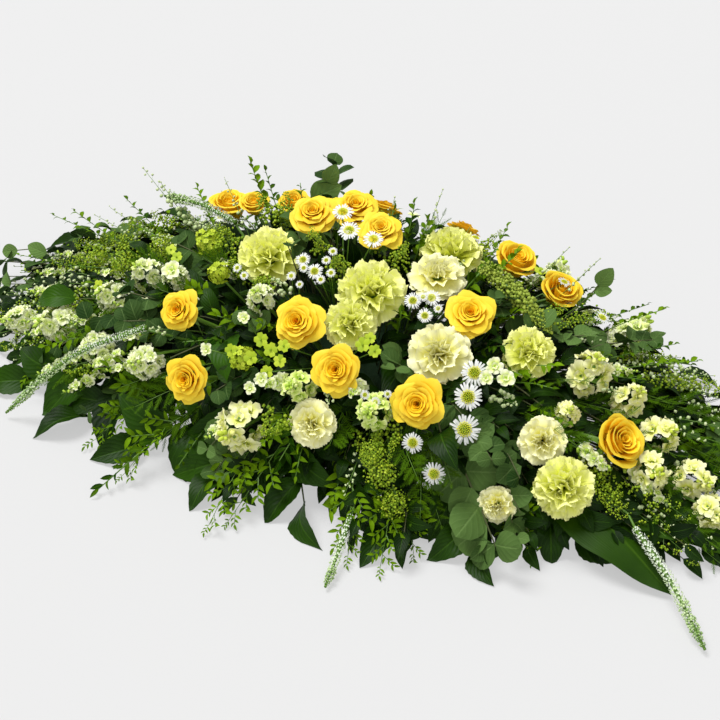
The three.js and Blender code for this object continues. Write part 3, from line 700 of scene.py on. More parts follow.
daisy_white = finish("daisy_ray", mottled(90, (0.7, 0.72, 0.68), (0.82, 0.83, 0.82)), 0.55, glow=0.1)
daisy_eye = finish(
    "daisy_eye",
    lambda place: place.tone().ramp((0.5, 0.62, 0.01), (0.82, 0.84, 0.015), (0.96, 0.9, 0.03)),
    0.7,
)
DAISIES = {
    "daisy_top": [
        (-36, 22, 262, 13), (-8, -14, 262, 13), (24, -10, 256, 12), (-44, -70, 240, 9),
        (-20, -84, 238, 10),
    ],
    "daisy_middle": [(106, -66, 222, 10), (124, -50, 222, 10), (128, -78, 214, 9)],
    "daisy_right": [
        (212, -116, 181, 15), (216, -142, 164, 16), (226, -172, 140, 17), (174, -204, 124, 12),
        (208, -216, 98, 13),
    ],
}
SMALL_DAISIES = {
    "under_the_top": [
        (-9, -74, 252, 6), (-8, -58, 256, 6), (6, -90, 247, 6), (-32, -90, 243, 6), (-2, -102, 242, 6),
    ],
    "beside_the_crest": [
        (-121, -102, 224, 6), (-105, -112, 223, 6), (-41, -106, 238, 6), (-25, -114, 235, 5),
    ],
    "among_the_mantles": [
        (107, -197, 167, 6), (122, -199, 163, 6), (132, -187, 170, 5), (115, -209, 155, 6),
    ],
    "right": [(237, 112, 184, 9), (301, 82, 167, 11), (116, -58, 226, 6), (140, -66, 221, 6)],
    "back": [
        (-110, 150, 190, 12), (-90, 162, 182, 11), (130, 168, 172, 12), (-250, 70, 170, 11),
        (96, 150, 190, 10),
    ],
}
daisies = Bunch()
large_heads = [daisy_head(seed) for seed in (41, 42, 43)]
small_heads = [daisy_head(seed) for seed in (44, 45)]
put_heads(daisies, DAISIES, large_heads, stem=0.0012, sink=0.1, turn=0.4, fill=1.08)
put_heads(daisies, SMALL_DAISIES, small_heads, stem=0.0008, sink=0.1, turn=0.4)
daisies.piece("daisies", [daisy_white, green_stem, daisy_eye], DAISIES)

# Snowballs and lady's mantle. The snowballs are tight round heads of small five-petalled lime-green
# stars, with single stars between them, and the mantle is a looser froth of yellow-green beads and
# stars on fine twigs.
BEAD = bud_pattern(4, 3)


def star(seed):
    dice = random.Random(seed)
    made = Bunch()

    def lobe(u, t):
        width = 0.5 * math.sin(math.pi * (0.15 + 0.68 * t)) ** 0.7
        return Vector((0.1 + 0.9 * t, u * width, 0.12 * t - 0.1 * u * u))

    for turn in turns(5, dice, 0.1):
        made.put(sheet(2, 2, lobe), turn, dice.uniform(0.2, 1))
    made.put(BEAD, facing(Vector((0, 0, 0.1)), UP, 0, 0.2), 0)
    return made.pattern()


def ball_head(seed, count, size, patterns, froth, dark=0.0):
    """Florets spread evenly over a ball, some of them standing out. A ball that is given its
    darkest tone also has a green core, which closes the gaps between them."""
    dice = random.Random(seed)
    head = Bunch()
    if dark:
        head.put(BUD, Matrix.Scale(0.5, 4), 0.1)
    for i in range(count):
        level = 1 - 2 * (i + 0.5) / count
        way = at_angle(i * GOLDEN_ANGLE, math.sqrt(1 - level * level), level)
        away = dice.uniform(1 - froth, 1)
        wide = size * dice.uniform(0.8, 1.15)
        tilted = way + Vector([dice.uniform(-0.6, 0.6) for axis in range(3)])
        pattern, spin = dice.choice(patterns), dice.uniform(0, 6)
        head.put(pattern, facing(way * away, tilted, spin, wide), dice.uniform(dark, 1))
    return head.pattern()


def toned(place, scale, share=0.6):
    """How pale a floret or a needle is, by its own tone and in soft patches."""
    return place.tone() * share + place.noise(scale) * (1 - share)


def lime_finish(name, *shades):
    return finish(name, lambda place: toned(place, 50).ramp(*shades), 0.65, glow=0.12)


lime_floret = lime_finish("lime_floret", (0.16, 0.3, 0.003), (0.42, 0.56, 0.01), (0.72, 0.8, 0.06))
mantle_bead = lime_finish("mantle_bead", (0.1, 0.22, 0.002), (0.28, 0.43, 0.005), (0.58, 0.68, 0.03))
SNOWBALLS = {"snowball": [(-210, -28, 196, 19), (-152, -98, 206, 15), (-66, -190, 160, 17)]}
LIME_STARS = {
    "left": [
        (-41, -184, 191, 9), (-24, -191, 186, 9), (-7, -199, 180, 8), (-76, -198, 173, 8),
        (-46, -202, 174, 9),
    ],
    "middle": [
        (-19, -210, 167, 8), (-9, -185, 193, 8), (83, -156, 206, 9), (99, -156, 202, 8),
        (88, -146, 211, 7),
    ],
    "left_end": [(-262, -40, 176, 8), (-240, -60, 182, 8), (-350, -90, 122, 8), (-180, -150, 172, 8)],
    "back": [(-180, 110, 186, 8), (70, 160, 186, 8), (200, 120, 186, 8), (-60, 150, 200, 8)],
}
MANTLES = {
    "mantle_front": [(134, -232, 112, 18), (148, -236, 92, 22), (170, -246, 60, 20)],
    "mantle_left": [(-398, -22, 114, 25), (-336, -48, 138, 25), (-288, -20, 160, 22)],
}
stars = [star(seed) for seed in (51, 52, 53)]
snowball_heads = [ball_head(seed, 90, 0.2, stars, 0.35, 0.4) for seed in (61, 62)]
mantle_heads = [ball_head(seed, 300, 0.07, [BEAD, BEAD, *stars], 0.6) for seed in (63, 64)]
snowballs = Bunch()
put_heads(snowballs, SNOWBALLS, snowball_heads, stem=0.002, sink=0.7)
put_heads(snowballs, LIME_STARS, stars, stem=0.001, sink=0.1, turn=0.5)
snowballs.piece("snowballs", [lime_floret, green_stem], SNOWBALLS)
mantles = Bunch()
put_heads(mantles, MANTLES, mantle_heads, stem=0.002, sink=0.7)
mantles.piece("mantles", [mantle_bead, green_stem], MANTLES)

# Veronica and goldenrod. Long tapering spikes set all round with tiny florets: white stars low
# down, green buds towards the tip, and on the goldenrod a plume of gold-green beads. Each gives
# its radius, the places that its stem passes, and its line.
SPIKES = {
    "veronica_right": (7, [(392, -118, 56)], [(436, -146, 50), (498, -196, 34), (562, -258, 9)]),
    "veronica_front": (6, [(96, -170, 50)], [(122, -262, 34), (130, -312, 18), (138, -360, 7)]),
    "veronica_left": (6.5, [], [(-214, -176, 150), (-304, -222, 104), (-392, -262, 9)]),
    "veronica_top": (7, [], [(-196, 20, 204), (-262, 42, 202), (-336, 62, 186)]),
    "goldenrod_right": (11, [], [(146, 58, 214), (206, 26, 206), (266, -2, 184)]),
}
SPECK = bud_pattern(4, 2)


def tiny_star(seed):
    made = Bunch()

    def lobe(u, t):
        return Vector((0.1 + 0.9 * t, u * 0.5 * math.sin(math.pi * (0.2 + 0.6 * t)), 0.9 * t - 0.5 * t * t))

    for turn in turns(4, random.Random(seed), 0.2):
        made.put(sheet(1, 2, lobe), turn)
    return made.pattern()


tiny_stars = [tiny_star(seed) for seed in (71, 72)]


def put_spike(bunch, points, radius, seed, beads):
    """Florets in rows round a stem, or beads that stand off it in a plume."""
    dice = random.Random(seed)
    length = sum((b - a).length for a, b in zip(points, points[1:]))
    stem = radius * (0.2 if beads else 0.5)
    put_stalk(bunch, STALK, points, stem, stem / 2)
    rows = int(length / (0.0021 if beads else 0.0032))
    in_a_row = 7 if beads else 9
    for row in range(rows):
        t = (row + dice.random()) / rows
        place, heading = way_along(points, min(0.999, t))
        side = heading.cross(UP).normalized()
        taper = min(1, 0.75 + t, 2.2 * (1 - t) ** 0.7 if beads else 2.6 * (1 - t) ** 0.5)
        for i in range(in_a_row):
            angle = row * 1.1 + i * math.tau / in_a_row + dice.uniform(-0.2, 0.2)
            away = side * math.cos(angle) + side.cross(heading) * math.sin(angle)
            towards = (away + heading * 0.5).normalized()
            is_open = not beads and t < 0.72 + dice.uniform(-0.1, 0.1)
            near, far = (0.3, 1.2) if beads else (0.65 if is_open else 0.6, 0.95)
            spot = place + away * radius * taper * dice.uniform(near, far)
            spot.z = max(0.0015, spot.z)
            size = radius * (0.19 if is_open else 0.26) * max(0.5, taper) * dice.uniform(0.75, 1.25)
            tone = held(t * 1.3 - 0.45 + dice.uniform(-0.2, 0.2))
            pattern = dice.choice(tiny_stars) if is_open else SPECK
            bunch.put(pattern, facing(spot, towards, dice.uniform(0, 6), size), tone)


spike_white = finish(
    "spike_floret",
    lambda place: place.tone().ramp((0.84, 0.9, 0.76), (0.62, 0.76, 0.4), (0.15, 0.34, 0.02), 0.4),
    0.6,
    glow=0.1,
)
golden_bead = finish("goldenrod_bead", mottled(300, (0.12, 0.24, 0.008), (0.5, 0.56, 0.07)), 0.7)
veronicas = Bunch()
goldenrods = Bunch()
for seed, (node, (radius, passed, line)) in enumerate(SPIKES.items()):
    gold = node == "goldenrod_right"
    bunch = goldenrods if gold else veronicas
    points = [metres(p) for p in line]
    carried = [metres(p) for p in passed] + [points[0].lerp(points[1], 0.06)]
    put_stalk(bunch, STALK, [rooted(carried[0]), *carried], 0.0018)
    put_spike(bunch, points, radius / 1000, seed, gold)
veronicas.piece("veronicas", [spike_white, green_stem], [*SPIKES][:-1])
goldenrods.piece("goldenrod", [golden_bead, green_stem], ["goldenrod_right"])


# Salal. Leathery deep green leaves on woody twigs, glossy above with a pale midrib. They make the
# collar that lies on the surface and the lining that hides the foam.
# The lining's leaves are held to the darkest greens: painted shade under the blooms.
def leaf_patterns(width, bends, fullness, point, columns, rows, wave=0.0, cut=0.0):
    """Leaves one unit long from the foot at the origin along +Y, the upper face to +Z, that differ
    in how they arch and fold. The edge may be cut into teeth, one to each second row."""

    def leaf(arch, fold):
        def form(u, t):
            half = width / 2 * max(0, math.sin(math.pi * t**fullness)) ** point
            half *= 1 - cut * (round(t * rows) % 2) * abs(u)
            lift = arch * math.sin(math.pi * t) - arch * 0.5 * t * t + fold * abs(u) * half * 2
            lift += wave * math.sin(t * 17 + u * 2) * u * u
            return Vector((u * half, t, lift))

        return sheet(columns, rows, form)

    return [leaf(arch, fold) for arch, fold in bends]


salal_leaves = leaf_patterns(0.56, [(0.14, 0.2), (0.2, 0.12), (0.08, 0.28)], 0.75, 0.9, 4, 16, 0.012, 0.06)
lining_leaves = leaf_patterns(0.5, [(0.14, 0.18), (0.2, 0.1), (0.08, 0.25)], 0.8, 0.9, 2, 5, 0.012)
TWIG = stalk_pattern(4, 4)


def seated(place, along, face, size):
    """Seats a leaf by its foot, pointing one way, its upper face turned to another."""
    across = along.cross(face).normalized()
    turn = Matrix((across, along.normalized(), across.cross(along).normalized())).transposed().to_4x4()
    return Matrix.Translation(place) @ turn @ Matrix.Scale(size, 4)


def veins_at(place, ribs):
    """How far a place on a leaf lies from its midrib, and the wave of the side veins there."""
    uv = place.uv()
    off = abs(uv.node("SeparateXYZ", {0: uv}) - 0.5)
    along = uv.node("SeparateXYZ", {0: uv}, output=1)
    return off, uv.math("SINE", (along * ribs - off * ribs * 0.9) * math.tau)


def leaf_relief(ribs):
    def bump(place):
        off, wave = veins_at(place, ribs)
        return (wave * 0.4 - (1 - off * 20).held() * 2 + place.noise(350) * 0.4).bump(0.3, 0.001)

    return bump


def leaf_finish(name, deep, bright, rib, ribs, roughness, glow, gloss, bump=None):
    """Leaf colour from one leaf to the next, with a pale midrib and faint side veins."""

    def colour(place):
        off, wave = veins_at(place, ribs)
        veins = (1 - off * 26).held() * 0.4 + ((wave - 0.86) * 6).held() * 0.16
        body = (place.tone() * 0.8 + (place.noise(28) - 0.5) * 0.7).held().blend(deep, bright)
        return veins.held().blend(body, rib)

    return finish(name, colour, roughness, bump, glow, Specular_IOR_Level=gloss)


def free_of_heads(place, room):
    """Whether a place is clear of every bloom and of the way that it faces."""
    for centre, radius in heads:
        off = place - centre
        if off.length < radius + room:
            return False
        if off.length < radius * 2.6:
            face = outward(centre)
            height = off.dot(face)
            if height > 0 and (off - face * height).length < radius * 0.85 + room:
                return False
    return True


def turned_up(place, dice, toss=0.4):
    """The way that a leaf's upper face turns: to the light, and out of the mound."""
    tossed = Vector((dice.uniform(-toss, toss), dice.uniform(-toss, toss), 0))
    return (outward(place) + UP * 0.4 + tossed).normalized()


LAST_LEAF = 0.985


def put_branch(
    bunch, route, patterns, leaves, length, dice,
    first=0.45, spread=0.85, twig=0.0014, paired=False, toss=0.4, dark=1.0,
):
    """A twig along a route. Its leaves stand in pairs, or in turn on its two sides and one at its
    tip."""
    put_stalk(bunch, TWIG, route, twig, twig * 0.5, dice.random())
    # A dark share below one holds the leaves to the deep end of their colours, as painted shade.
    base_tone = dice.uniform(0.05, 0.95) * dark
    for i in range(leaves):
        place, heading = way_along(route, first + (LAST_LEAF - first) * i / (leaves - 1))
        face = turned_up(place, dice, toss)
        side = heading.cross(face).normalized()
        size = length * (1 - 0.35 * i / leaves) * dice.uniform(0.8, 1.15)
        for hand in ((1, -1) if paired else ((1, -1)[i % 2],)):
            angle = 0.1 if i == leaves - 1 and not paired else spread * dice.uniform(0.7, 1.3)
            along = heading * math.cos(angle) + side * hand * math.sin(angle)
            if place.z + along.z * size < 0.004:
                along.z = (0.004 - place.z) / size
            if all(free_of_heads(place + along * size * share, size * 0.12) for share in (0.3, 0.6, 1)):
                tone = held(base_tone + dice.uniform(-0.25, 0.25))
                bunch.put(dice.choice(patterns), seated(place, along, face, size), tone)


def outline_at(x):
    return HALF_WIDTH * max(0, 1 - abs(x / HALF_LENGTH) ** 2.3) ** 0.6


def crest_at(x):
    return MOUND_HEIGHT * max(0, 1 - abs(x / HALF_LENGTH) ** 1.56)


def on_mound(x, lean, level):
    """A place at x along the spray, leaning off the upright, at a share of the mound's size."""
    height = math.cos(lean) * crest_at(x) * level
    return Vector((x, math.sin(lean) * outline_at(x) * level, max(0.012, height)))


def scattered(reach, turn, inner, outer, dice):
    """Places all over the mound, one to each cell of a grid, between two shares of its size."""
    along, around = 34, 12
    for i in range(along):
        for j in range(around):
            x = -reach + 2 * reach * (i + dice.random()) / along
            lean = math.radians(-turn + 2 * turn * (j + dice.random()) / around)
            yield on_mound(x, lean, dice.uniform(inner, outer))


def low(side, *xs, reach=0.92):
    """Tips that lie on the surface at the edge of the mound."""
    return [Vector((x, side * reach * outline_at(x), 0.01)) for x in (x / 1000 for x in xs)]


def high(side, x, lean):
    """A tip under the blooms on one side of the crest."""
    x = x / 1000
    return Vector((x, side * lean * outline_at(x), 0.84 * crest_at(x) * math.sqrt(1 - lean * lean)))


def put_forked(bunch, plan, patterns, leaves, length, seed, **habit):
    """Leafy branches whose forks and tips are where the solids have them."""
    dice = random.Random(seed)
    for fork, tips in plan.values():
        fork = metres(fork)
        root = Vector((fork.x * 0.6, fork.y * 0.42, 0.05))
        put_stalk(bunch, TWIG, [root, fork], 0.0024)
        for tip in tips:
            route = [fork.lerp(root, 0.12), fork.lerp(tip, 0.5) + Vector((0, 0, 0.016)), tip]
            put_branch(bunch, route, patterns, leaves, length, dice, twig=0.0019, **habit)


# The deep end of these greens is nearly black; the lining's leaves, held to it, are painted shade.
salal_leaf = leaf_finish(
    "dark_leaf", (0.003, 0.014, 0.0004), (0.03, 0.095, 0.001), (0.06, 0.15, 0.008), 8,
    roughness=0.45, glow=0.03, gloss=0.1, bump=leaf_relief(8),
)
woody_twig = finish(
    "woody_twig", mottled(60, (0.04, 0.08, 0.015), (0.12, 0.11, 0.04)), 0.7, grainy(400, 0.3, 0.0006)
)
SALAL = {
    "salal_front_1": ((-190, -116, 50), low(-1, -530, -400, -290)),
    "salal_front_2": ((-40, -124, 48), low(-1, -190, -70, 50)),
    "salal_front_3": ((180, -116, 50), low(-1, 160, 270) + low(-1, 370, reach=0.7)),
    "salal_back_1": ((-190, 116, 50), low(1, -530, -410, -300)),
    "salal_back_2": ((0, 124, 48), low(1, -170, -50, 70)),
    "salal_back_3": ((200, 116, 50), low(1, 210, 370, 520)),
    "salal_high_1": ((-60, -30, 112), [high(-1, -380, 0.5), high(-1, -170, 0.74)]),
    "salal_high_2": ((-50, 40, 112), [high(1, -340, 0.5), high(1, -150, 0.74)]),
    "salal_high_3": ((60, 20, 112), [high(-1, 200, 0.7), high(-1, 320, 0.4), high(1, 160, 0.7)]),
}
LOW_GAPS = [
    (7, -212), (0, -222), (-300, -165), (56, -196), (88, -190), (-48, -250), (-30, -276), (98, -214),
    (104, -226), (312, -172), (324, -194), (186, -240), (192, -262), (132, -266), (498, -132),
    (430, 158),
]
salal = Bunch()
put_forked(salal, SALAL, salal_leaves, 4, 0.095, 81, first=0.4)


def put_lining(tip, dice, shortest, longest, first, bow=0.02):
    """A twig of small leaves that closes a gap, held to the darkest greens as painted shade under the
    blooms.
    """
    route = route_to(tip, dice, bow)
    length = dice.uniform(shortest, longest)
    put_branch(salal, route, lining_leaves, 5, length, dice, first=first, dark=0.25)


dice = random.Random(82)
for tip in scattered(0.55, 84, 0.66, 0.84, dice):
    put_lining(tip, dice, 0.034, 0.055, 0.6)
LOW_TWIGS = 90
for i in range(LOW_TWIGS):
    lean = math.radians(dice.choice((-1, 1)) * dice.uniform(55, 86))
    tip = on_mound(-0.5 + (i + dice.random()) / LOW_TWIGS, lean, dice.uniform(0.5, 0.84))
    put_lining(tip, dice, 0.045, 0.06, 0.5)
dice = random.Random(83)
for x, y in LOW_GAPS:
    for z in (12, 34):
        put_lining(metres((x, y, z)), dice, 0.04, 0.055, 0.55, 0.01)
salal.piece("salal", [salal_leaf, woody_twig], SALAL)

# Aspidistra. Two broad smooth blades, each drawn to a point, with a sunk midrib and fine parallel
# ribs from end to end. They slide under the right end as a base for the long spike.
ASPIDISTRA_FORK = Vector((0.286, -0.096, 0.046))
aspidistra = Bunch()
put_stalk(aspidistra, STALK, [Vector((0.189, -0.038, 0.046)), ASPIDISTRA_FORK], 0.0024)
for tone, tip in ((0.4, Vector((0.5, -0.19, 0.007))), (0.7, Vector((0.59, -0.084, 0.007)))):
    run = tip - ASPIDISTRA_FORK
    across = run.cross(UP).normalized()

    def blade(u, t):
        half = 0.045 * math.sin(math.pi * t**0.9) ** 0.9 + 0.0012
        lift = 0.02 * math.sin(math.pi * t) - 0.14 * abs(u) * half + 0.002 * math.sin(t * 20) * u * u
        return ASPIDISTRA_FORK + run * (t * 1.02 - 0.02) + across * u * half + UP * lift

    aspidistra.put(sheet(10, 24, blade, tone))


def long_ribs(place):
    ribs = place.node("Mapping", {"Vector": place.uv(), "Scale": (60, 0.4, 1)})
    return ribs.noise(1.0, 1).bump(0.4, 0.001)


broad_leaf = leaf_finish(
    "broad_leaf", (0.008, 0.03, 0.0004), (0.032, 0.09, 0.0008), (0.07, 0.15, 0.008), 0,
    roughness=0.42, glow=0.05, gloss=0.14, bump=long_ribs,
)
aspidistra.piece("aspidistra_leaves", [broad_leaf, green_stem], ["aspidistra"])

# Where the small greens go. Twigs fill the whole mound evenly, apart from the broad blades, and
# each patch, as x, y and reach in millimetres, is richer in one kind, as the florist grouped them.
BARE = [(410, -185, 75), (470, -190, 60)]
PATCHES = [
    (-346, -64, 50, "froth"), (-437, 2, 45, "froth"), (-312, -15, 45, "froth"),
    (134, -223, 40, "froth"), (173, -249, 50, "froth"), (426, -112, 40, "froth"),
    (241, 87, 60, "froth"), (-52, -193, 30, "froth"), (-143, -241, 60, "box"), (-151, -258, 50, "box"),
    (0, -239, 50, "ruscus"), (-91, -257, 60, "ruscus"), (466, -7, 80, "fern"), (373, -139, 45, "fern"),
    (434, -150, 60, "fern"), (225, -234, 40, "fern"), (-453, -112, 60, "bud"), (-389, -126, 40, "bud"),
    (-303, 48, 60, "bud"), (-266, 80, 60, "bud"), (-448, -173, 60, "bud"), (-20, -100, 50, "bud"),
    (296, 89, 60, "bud"), (360, 84, 60, "bud"), (349, -50, 40, "bud"), (123, -203, 25, "bud"),
    (-313, -138, 40, "eucalyptus"), (259, -174, 55, "eucalyptus"), (291, -211, 55, "eucalyptus"),
    (-80, -235, 40, "eucalyptus"), (280, -11, 45, "eucalyptus"), (120, -131, 40, "eucalyptus"),
    (-560, 0, 90, "bud"), (560, -40, 90, "fern"), (520, 60, 80, "bud"),
]
KINDS = ["box"] * 5 + ["ruscus"] * 4 + ["fern"] * 3 + ["bud"] * 3 + ["eucalyptus"] * 3 + ["froth"] * 3


def within(place, x, y, reach):
    return math.hypot(place.x * 1000 - x, place.y * 1000 - y) < reach


greens = []
dice = random.Random(85)
for tip in scattered(0.59, 86, 0.9, 1.03, dice):
    if any(within(tip, *patch) for patch in BARE) or not free_of_heads(tip, 0.003):
        continue
    near = [kind for *patch, kind in PATCHES if within(tip, *patch)]
    kind = dice.choice(near) if near and dice.random() < 0.75 else dice.choice(KINDS)
    greens.append((kind, tip, dice.random()))


def greens_of(kind):
    """The twigs of one kind, each with its own dice."""
    return [(tip, random.Random(seed)) for each, tip, seed in greens if each == kind]


# Eucalyptus. Round grey-green leaves with a waxy bloom, in pairs along woody twigs, from small
# ones at the ends to the large ones at the front. A few single leaves stand out of the crest and
# the left end.
wax_leaf = leaf_finish(
    "grey_leaf", (0.014, 0.042, 0.006), (0.125, 0.22, 0.052), (0.19, 0.3, 0.09), 5,
    roughness=0.65, glow=0.04, gloss=0.08, bump=leaf_relief(5),
)
round_leaves = leaf_patterns(0.92, [(0.06, 0.1), (0.12, -0.1), (0.1, 0.2)], 0.9, 0.5, 4, 6)
upright_leaf = leaf_patterns(0.66, [(0.05, 0.06)], 0.85, 0.7, 6, 12)[0]
EUCALYPTUS = {
    "eucalyptus_left": ((-250, -20, 90), [Vector((-0.59, 0, 0.04))]),
    "eucalyptus_right": ((240, 40, 90), [Vector((0.59, 0.01, 0.04)), Vector((0.37, 0.09, 0.15))]),
}
TOP_EUCALYPTUS = {"eucalyptus_top": ((-70, 84, 150), [Vector((-0.106, 0.128, 0.262))])}
LARGE_EUCALYPTUS = {"eucalyptus_front": ((150, -100, 90), [Vector((0.3, -0.24, 0.04))])}
UPRIGHT_LEAVES = [
    [((-125, 100, 217), (-79, 100, 250)), ((-100, 100, 246), (-86, 100, 280))],
    [((294, 60, 219), (317, 60, 226)), ((298, 60, 228), (315, 60, 258))],
    [((-522, 20, 61), (-556, 20, 66)), ((-575, 20, 52), (-606, 20, 40))],
]
eucalyptus = Bunch()
put_forked(eucalyptus, EUCALYPTUS, round_leaves, 6, 0.036, 91, paired=True, spread=1.1, toss=0.8)
put_forked(eucalyptus, TOP_EUCALYPTUS, round_leaves, 3, 0.036, 94, paired=True, spread=1.0, first=0.6)
put_forked(
    eucalyptus, LARGE_EUCALYPTUS, round_leaves, 7, 0.058, 92, paired=True, spread=1.2, first=0.3, toss=0.7
)
for tip, dice in greens_of("eucalyptus"):
    length, route = dice.uniform(0.024, 0.038), route_to(tip, dice)
    put_branch(
        eucalyptus, route, round_leaves, 4, length, dice, first=0.62, spread=1.2, paired=True, toss=0.9
    )
for leaves in UPRIGHT_LEAVES:
    feet = [metres(foot) for foot, tip in leaves]
    root = Vector((feet[0].x * 0.7, feet[0].y * 0.6, feet[0].z * 0.4))
    put_stalk(eucalyptus, TWIG, [root, *feet], 0.0008)
    for foot, (_, tip) in zip(feet, leaves):
        along = metres(tip) - foot
        leaf = seated(foot, along, Vector((0.35, -0.75, 0.5)), along.length)
        # Their tone of 1.3 makes them paler than any other eucalyptus leaf: painted light on leaves that
        # stand up out of the crest and the left end.
        eucalyptus.put(upright_leaf, leaf, 1.3)
eucalyptus_nodes = [*EUCALYPTUS, *TOP_EUCALYPTUS, *LARGE_EUCALYPTUS]
eucalyptus.piece("eucalyptus", [wax_leaf, woody_twig], eucalyptus_nodes)

# Ruscus, box and trailing myrtle. Fine twigs with small pointed or oval leaves, mid green, that
# soften the edge and fill between the blooms.
small_leaf = leaf_finish(
    "ruscus_leaf", (0.008, 0.042, 0.0005), (0.18, 0.33, 0.004), (0.24, 0.4, 0.015), 4,
    roughness=0.6, glow=0.1, gloss=0.04,
)
ruscus_leaves = leaf_patterns(0.35, [(0.12, 0.2), (0.2, 0.1)], 0.9, 0.8, 2, 4)
box_leaves = leaf_patterns(0.55, [(0.12, 0.2), (0.2, 0.1)], 0.8, 0.6, 2, 3)
RUSCUS = {
    "ruscus_front": ((-110, -124, 52), [Vector((-0.196, -0.338, 0.008))]),
    "ruscus_back": ((110, 124, 52), [Vector((0.196, 0.330, 0.008))]),
}
TRAILING = [
    (-38, -330, 8), (-21, -310, 8), (180, -300, 8), (137, -300, 8), (-254, -257, 10), (-182, -300, 10),
    (205, -262, 8), (330, -205, 8), (-440, -200, 8), (-60, 318, 8), (40, 312, 8), (-240, 270, 8),
    (300, 255, 8),
]


def rib(half, length, rise=0.0):
    """The thin flat rib of a small shoot."""
    return lambda u, t: Vector((u * half, t * length, rise * t * t))


def leafy_twig(seed):
    """A short shoot with narrow leaves on both sides."""
    dice = random.Random(seed)
    made = Bunch()
    made.put(sheet(1, 1, rib(0.02, 0.9), slot=GREEN_STALK))
    for i in range(6):
        angle = (1, -1)[i % 2] * dice.uniform(0.4, 1.1)
        along = Vector((math.sin(angle), math.cos(angle), dice.uniform(-0.3, 0.5))).normalized()
        leaf = seated(Vector((0, 0.2 + 0.14 * i, 0)), along, UP, dice.uniform(0.3, 0.5))
        made.put(ruscus_leaves[0], leaf, dice.uniform(0.5, 1))
    return made.pattern()


LAST_TWIG = 0.99


def put_plume(bunch, route, patterns, count, length, dice, first=0.45):
    """A wiry rib with side twigs on its two sides, shorter towards the tip."""
    put_stalk(bunch, TWIG, route, 0.0009, 0.00036)
    for i in range(count):
        place, heading = way_along(route, first + (LAST_TWIG - first) * i / (count - 1))
        face = turned_up(place, dice)
        side = heading.cross(face).normalized()
        angle = 0 if i == count - 1 else 0.75 * dice.uniform(0.7, 1.3)
        along = heading * math.cos(angle) + side * (1, -1)[i % 2] * math.sin(angle)
        along += face * dice.uniform(0, 0.4)
        size = length * (1.15 - 0.75 * i / count) * dice.uniform(0.8, 1.2)
        along.z = max(along.z, (0.003 - place.z) / size)
        if free_of_heads(place + along * size * 0.6, 0):
            bunch.put(dice.choice(patterns), seated(place, along, face, size))


leafy_twigs = [leafy_twig(seed) for seed in (104, 105, 106)]
small_greens = Bunch()
put_forked(small_greens, RUSCUS, ruscus_leaves, 18, 0.024, 101, spread=0.6, first=0.4)
dice = random.Random(102)
for place in TRAILING:
    put_plume(small_greens, route_to(metres(place), dice), leafy_twigs, 9, 0.034, dice, first=0.5)
for tip, dice in greens_of("box"):
    route, length = route_to(tip, dice), dice.uniform(0.011, 0.018)
    put_branch(small_greens, route, box_leaves, 13, length, dice, first=0.6, toss=1.2)
for tip, dice in greens_of("ruscus"):
    route, length = route_to(tip, dice), dice.uniform(0.016, 0.032)
    put_branch(small_greens, route, ruscus_leaves, 10, length, dice, first=0.55, toss=1)
small_greens.piece("small_greens", [small_leaf, green_stem], RUSCUS)


# Fern. Feathery plumes of tree fern, each a wiry rib with side twigs of needle leaves, dark green.
# They stand here and there all over the mound, and thickest at the right end.
def needle_twig(seed):
    dice = random.Random(seed)
    made = Bunch()
    made.put(sheet(1, 2, rib(0.012, 1, 0.08), 0.3))
    for i in range(20):
        at = 0.12 + 0.86 * i / 20
        angle = (0.7 + dice.uniform(-0.15, 0.15)) * (1, -1)[i % 2]
        length, lift = 0.26 * (1.1 - at) + 0.06, dice.uniform(-0.05, 0.12)

        def needle(u, t):
            off = Vector((math.sin(angle), math.cos(angle), lift)) * length * t
            across = Vector((math.cos(angle), -math.sin(angle), 0)) * 0.014 * u * (1.2 - t)
            return Vector((0, at, 0.08 * at * at)) + off + across

        made.put(sheet(1, 1, needle, dice.uniform(0.2, 1)))
    return made.pattern()


needle_twigs = [needle_twig(seed) for seed in (111, 112, 113)]
fern_green = finish(
    "fern_needle",
    lambda place: toned(place, 30, 0.4).blend((0.01, 0.045, 0.0006), (0.1, 0.21, 0.003)),
    0.6,
    glow=0.08,
    Specular_IOR_Level=0.05,
)
ferns = Bunch()
for tip, dice in greens_of("fern"):
    put_plume(ferns, route_to(tip, dice), needle_twigs, 16, dice.uniform(0.03, 0.045), dice)
ferns.piece("ferns", [fern_green, green_stem])


# Froth, bud sprays and leafy sprigs. Fine branching filler: yellow-green beads of lady's mantle,
# thin twigs set with greenish white buds, and small leafy shoots that stand up out of the crest.
def side_twig(seed, beads, bead_size, reach):
    """A short twig with beads at the ends of its branchlets."""
    dice = random.Random(seed)
    made = Bunch()
    made.put(sheet(1, 1, rib(0.012, 0.7), slot=GREEN_STALK))
    for i in range(beads):
        away, height = reach * math.sqrt((i + 0.5) / beads), 0.75 + dice.uniform(-0.2, 0.25)
        spot = at_angle(i * SPIRAL_TURN, away, height)
        bead = facing(spot.xzy, UP, 0, bead_size * dice.uniform(0.7, 1.3))
        made.put(BEAD, bead, dice.random())
    return made.pattern()


